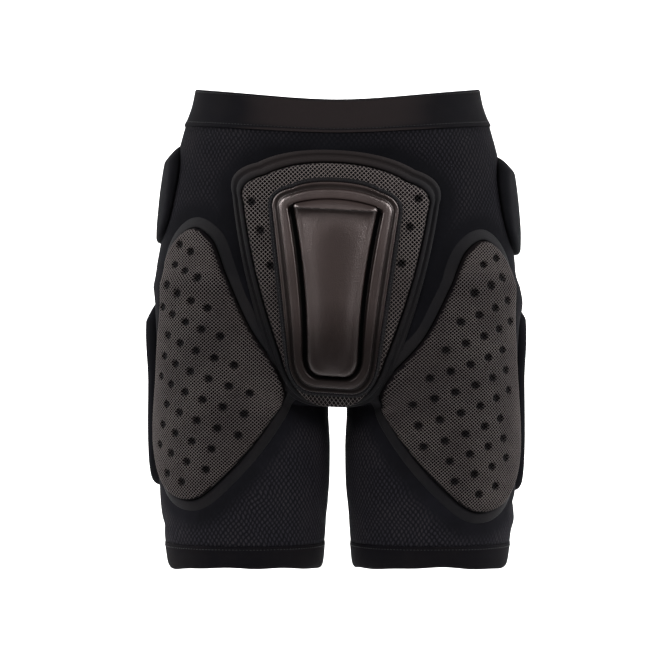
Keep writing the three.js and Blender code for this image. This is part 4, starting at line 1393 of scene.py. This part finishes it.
FRONT_BORDER_PROFILE = [
    (4, -1), (0.9, -1), (0.7, 3.0), (2.2, 4.6), (4.6, 4.2), (6.0, 3.2), (7.0, 1.9), (8.4, 2.3), (9.8, 3.3),
    (12.2, 2.4), (13.4, 0.6), (12.8, -1), (4, -1),
]
THIGH_BORDER_PROFILE = [
    (5, -1), (0.9, -1), (0.8, 2.6), (2.4, 3.1), (5.6, 2.4), (8.6, 1.3), (11.4, 0.3), (11.6, -1), (5, -1),
]
front_loop_at = lambda inset: keystone_loop(drawn_in(FRONT_PAD, inset, 0.35))
border("front_border", PADS["front"], front_loop_at, FRONT_BORDER_PROFILE, "front_pad_border")
for side_name in SIDES:
    pad = PADS[f"thigh_{side_name}"]
    loop_at = lambda inset, loop=pad["loop"]: moved_in(loop, inset)
    border(f"thigh_border_{side_name}", pad, loop_at, THIGH_BORDER_PROFILE, f"thigh_pad_border_{side_name}")

# %% [markdown]
# ## The guard
# The guard is one moulded shell: a ridge, a groove, a flat frame, a deep channel and a raised middle with a
# slanted bar at its top. Its profile is carried round the keystone and softened at every edge, then closed by
# the crown.

# %% The moulded shell
GUARD_TOE_SHARE = 0.63
GUARD_PINCH = 0.16
GUARD_SHARPEN = 0.85
GUARD_NARROWING = 0.72
GUARD_FLATTEN = 0.12
GUARD_BASE = PADS["front"]["thickness"]
# Millimetres in from the outline, height, and how deep in shadow that row lies.
GUARD_PROFILE = [
    (4.2, -1.0, 0.3), (4.3, 1.4, 0.3), (4.9, 2.4, 0.35), (5.8, 2.6, 0.35), (6.8, 2.4, 0.5), (7.8, 1.8, 0.75),
    (10.4, 1.8, 0.75), (11.3, 2.6, 0.45), (11.9, 3.9, 0.35), (12.9, 4.6, 0.2), (16.0, 4.8, 0.05),
    (19.4, 4.8, 0.05), (20.4, 4.3, 0.3), (21.2, 2.6, 0.7), (22.2, 1.6, 1), (25.4, 1.2, 1),
]
# The raised middle, from its foot inwards: how far in its sides, how far down its top, how arched its top is,
# its height, and how deep in shadow it lies.
BOSS = [
    (0.2, -5.2, 5, 2.0, 1), (0.8, -4.6, 5, 3.8, 0.8), (1.7, -3.6, 4.5, 5.3, 0.15), (2.9, -1.6, 3, 6.4, 0),
    (4.2, 1.0, 2, 7.2, 0), (5.0, 2.6, 1, 7.5, 0), (5.4, 3.6, 1, 7.6, 0), (5.7, 4.3, 1, 7.7, 0),
    (5.9, 5.0, 1, 7.75, 0), (6.2, 5.8, 1, 7.85, 0), (6.6, 7.0, 1, 7.95, 0), (7.2, 8.6, 1, 8.1, 0),
]
BOSS_TOE = 15
# The bar across the top of the raised middle: where its lower edge lies, how proud it is and how it falls
# away, how dark the painted shadow under it is, how far that fades, and how much painted shade lies on the
# bar.
BAR = {"down": 4.3, "lift": 3.0, "above": 9, "below": 2.6, "shadow": 0.8, "fade": 8, "veil": 0.25}
# How much higher the face is in its middle than at its sides, and how sharply it rounds off at its ends.
CROWN = 3.8
CROWN_POWER = 8
# The rings that close the face lie at the cosines of turns from nearly its edge to nearly its middle.
CROWN_RINGS, CROWN_TURN = 36, (0.1, math.pi / 2 - 0.02)


def guard_shape(inset):
    """The guard's outline drawn in: nearer the middle its sides are pinched and its corners sharper."""
    shape = drawn_in(GUARD, inset, GUARD_TOE_SHARE)
    shape["bottom_width"] = GUARD["bottom_width"] - 2 * inset * GUARD_NARROWING
    shape["bow"] = GUARD["bow"] - GUARD_PINCH * inset
    shape["corner"] = max(GUARD["corner"] - GUARD_SHARPEN * inset, 4)
    shape["crown"] = GUARD["crown"] - GUARD_FLATTEN * inset
    return shape


def bar_lift(up):
    """How proud the bar stands, by the distance above its lower edge."""
    above = np.clip(1 - up / BAR["above"], 0, 1)
    below = np.exp(np.minimum(up, 0) / BAR["below"])
    return BAR["lift"] * np.where(up > 0, above, below)


def bar_shadow(up):
    """How dark the face is just under the bar, and the slanted bar itself."""
    under = BAR["shadow"] * np.exp(-((up / BAR["fade"]) ** 2))
    return np.where(up < -0.4, under, BAR["veil"] * np.clip(up, 0, 1))


def face_crown(shape, flat):
    """How high the face is: curved across only, like a part of a cylinder."""
    up = np.clip((flat[:, 1] - shape["top"]) / shape["height"] + 1, 0, 1)
    half = (shape["bottom_width"] + (shape["top_width"] - shape["bottom_width"]) * up) / 2
    return CROWN * (1 - np.minimum(np.abs(flat[:, 0]) / half, 1) ** 2)


def guard_ring(shape, height):
    loop = keystone_loop(shape)
    return on_front(loop, np.full(len(loop), GUARD_BASE + height))


def guard_shell():
    loops, shadow = [], []
    for inset, height, dark in rounded(GUARD_PROFILE):
        loops.append(guard_ring(guard_shape(inset), height))
        shadow.append(np.full(len(loops[0]), dark))
    foot = {**guard_shape(GUARD_PROFILE[-1][0]), "toe": BOSS_TOE}
    bar_edge = foot["top"] - BAR["down"]
    for inset, down, crown, height, dark in rounded(BOSS, 1):
        shape = drawn_in(foot, inset, GUARD_TOE_SHARE)
        shape["top"] -= down - inset
        shape["height"] -= down - inset
        shape["crown"] = crown
        loop = keystone_loop(shape)
        up = loop[:, 1] - bar_edge
        loops.append(on_front(loop, GUARD_BASE + height + bar_lift(up) * min(height / 7, 1)))
        shadow.append(np.maximum(dark, bar_shadow(up)))
    edge = keystone_loop(shape)
    middle = edge.mean(axis=0)
    for share in np.cos(np.linspace(*CROWN_TURN, CROWN_RINGS)):
        face = middle + (edge - middle) * share
        rise = height + face_crown(shape, face) * (1 - share**CROWN_POWER)
        up = face[:, 1] - bar_edge
        loops.append(on_front(face, GUARD_BASE + rise + bar_lift(up)))
        shadow.append(bar_shadow(up))
    loops = np.array(loops)
    rows, count = loops.shape[:2]
    ends = [loops[-1].mean(axis=0), loops[0].mean(axis=0) + [0, 6, 0]]
    points = np.concatenate([loops.reshape(-1, 3), ends])
    faces = strips(rows, count, False)
    tip, root = rows * count, rows * count + 1
    faces += [((rows - 1) * count + i, (rows - 1) * count + (i + 1) % count, tip) for i in range(count)]
    faces += [((i + 1) % count, i, root) for i in range(count)]
    flat = np.stack([points[:, 0], points[:, 2]], axis=1)
    uv = flat[np.concatenate([np.array(face) for face in faces])]
    moulding = new_object("guard_moulding", points, faces, SHELL, uv)
    # The painted shadow of every row, and none at the two closing points.
    paint(moulding.data, "groove", np.append(np.concatenate(shadow), [0, 0]))
    return outwards(moulding)


keep(guard_shell(), ["guard_shell"])

# %% The binding round the guard
BINDING_PROFILE = [(1.5, -1), (0.1, -1), (0, 1.0), (0.8, 1.9), (2.4, 2.0), (4.3, 1.7), (4.3, -1), (1.5, -1)]
binding_loops = [guard_ring(guard_shape(inset), height) for inset, height in rounded(BINDING_PROFILE)[:-1]]
keep(ring("guard_edge", binding_loops, BINDING), ["guard_binding"])


# %% [markdown]
# ## Stitches
# Stitches hold the band, the hems and the guard's edge. One small bead shape is set along each seam by a node
# tree, which turns every bead along the seam. Each row only needs a line of points.


# %% The node tree for stitches
def make_stitch_tree():
    lengths = {"Pitch": 0.0035, "Length": 0.0013, "Radius": 0.0004}
    tree, given, out, curves = line_tree("stitches along lines", lengths)
    by_length = {"mode": "LENGTH"}
    spaced = new_node(tree, "GeometryNodeResampleCurve", by_length, Curve=curves, Length=given["Pitch"])
    bead = new_node(tree, "GeometryNodeMeshUVSphere", Segments=6, Rings=5)
    size = new_node(tree, "ShaderNodeCombineXYZ", X=given["Length"], Y=given["Radius"], Z=given["Radius"])
    tangent = new_node(tree, "GeometryNodeInputTangent").outputs[0]
    turn = new_node(tree, "FunctionNodeAlignRotationToVector", {"axis": "X"}, Vector=tangent)
    beads = new_node(
        tree,
        "GeometryNodeInstanceOnPoints",
        Points=spaced.outputs["Curve"],
        Instance=bead.outputs["Mesh"],
        Rotation=turn.outputs["Rotation"],
        Scale=size.outputs["Vector"],
    )
    return end_tree(tree, given, out, beads.outputs["Instances"])


STITCH_TREE = make_stitch_tree()


def stitch_row(name, loops, pitch=3.4, length=1.25, radius=0.38):
    edges = []
    for loop in loops:
        start, count = len(edges), len(loop)
        edges += [(start + i, start + (i + 1) % count) for i in range(count)]
    obj = line_object(name, np.concatenate(loops), edges)
    sizes = {"Pitch": pitch * MM, "Length": length * MM, "Radius": radius * MM}
    made = with_tree(obj, STITCH_TREE, **sizes, Finish=THREAD)
    return keep(made)


# %% Rows of stitches
stitch_row("band_stitches", [band_loop(0.88, 1.15), band_loop(0.06, 0.85)])
stitch_row("hem_stitches", [hem_loop(side["sign"], 0.14, 0.75) for side in SIDES.values()])
guard_line = guard_ring(guard_shape(2.2), 2.05)
stitch_row("guard_stitches", [guard_line], pitch=3.0)

# %% [markdown]
# ## Light and camera
# The garment hangs in front of a white sweep, as in a catalogue picture. Large soft lights from both sides
# leave the black cloth readable, and the camera stands far off, level with the middle of the garment.

# %% The sweep
sweep_profile = [(-0.6, -0.9), (0.9, -0.9), (1.25, -0.82), (1.4, -0.5), (1.42, 2.2)]
sweep_rows = rounded(sweep_profile, 3)
sweep_points = [(x / MM, y / MM, z / MM) for y, z in sweep_rows for x in (-3.0, 3.0)]
sweep_faces = [(2 * i, 2 * i + 1, 2 * i + 3, 2 * i + 2) for i in range(len(sweep_rows) - 1)]
paper, paper_tree, paper_shader, _, _ = new_material("paper", Roughness=0.9)
paper_shader.inputs["Base Color"].default_value = (0.94, 0.94, 0.94, 1)
# Seen from behind, the paper is clear, so the back of the garment can be looked at too.
paper_side = paper_tree.nodes.new("ShaderNodeNewGeometry").outputs["Backfacing"]
clear = paper_tree.nodes.new("ShaderNodeBsdfTransparent").outputs["BSDF"]
either = paper_tree.nodes.new("ShaderNodeMixShader")
for socket, value in zip(either.inputs, (paper_side, paper_shader.outputs["BSDF"], clear)):
    put(paper_tree, socket, value)
put(paper_tree, paper_tree.nodes["Material Output"].inputs["Surface"], either.outputs["Shader"])
sweep = new_object("sweep", sweep_points, sweep_faces, paper)
sweep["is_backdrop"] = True


# %% Lights
LIGHTS_AIM = Vector((0, 0, -0.22))


def soft_light(name, place, size, watts):
    data = bpy.data.lights.new(name, "AREA")
    data.shape = "RECTANGLE"
    data.size, data.size_y = size
    data.energy = watts
    lamp = linked(name, data)
    lamp.location = place
    lamp.rotation_euler = (LIGHTS_AIM - lamp.location).to_track_quat("-Z", "Y").to_euler()
    lamp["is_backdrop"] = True


# Each light's name, place, size and watts
for light in (
    ("key", (-1.5, -1.6, 0.8), (0.5, 1.1), 66),
    ("fill", (1.55, -1.5, 0.7), (0.6, 1.1), 66),
    ("above", (0.1, -1.2, 1.3), (1.5, 0.4), 4),
    ("sweep_left", (-1.6, 0.2, 0.6), (0.6, 1.6), 60),
    ("sweep_right", (1.6, 0.2, 0.6), (0.6, 1.6), 60),
):
    soft_light(*light)
world = bpy.data.worlds.new("studio")
world.use_nodes = True
world.node_tree.nodes["Background"].inputs["Color"].default_value = (1, 1, 1, 1)
world.node_tree.nodes["Background"].inputs["Strength"].default_value = 0.22
bpy.context.scene.world = world
bpy.context.scene.view_settings.view_transform = "Standard"

# %% Camera
CAMERA_PLACE = (-0.005, -2.5, -0.22425)
PICTURE_WIDTH = 0.665
camera_data = bpy.data.cameras.new("camera")
camera_data.sensor_width = 36
camera_data.lens = camera_data.sensor_width * -CAMERA_PLACE[1] / PICTURE_WIDTH
camera = linked("camera", camera_data)
camera.location = CAMERA_PLACE
camera.rotation_euler = (math.pi / 2, 0, 0)
bpy.context.scene.camera = camera

# %% Measure and finish
visual_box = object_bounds()
for label, box in (("CAD", cad_box), ("visual", visual_box)):
    print(label, "mm:", [[round(c / MM, 1) for c in corner] for corner in box])
print("triangles added:", sum(len(p.vertices) - 2 for obj in pieces for p in obj.data.polygons))
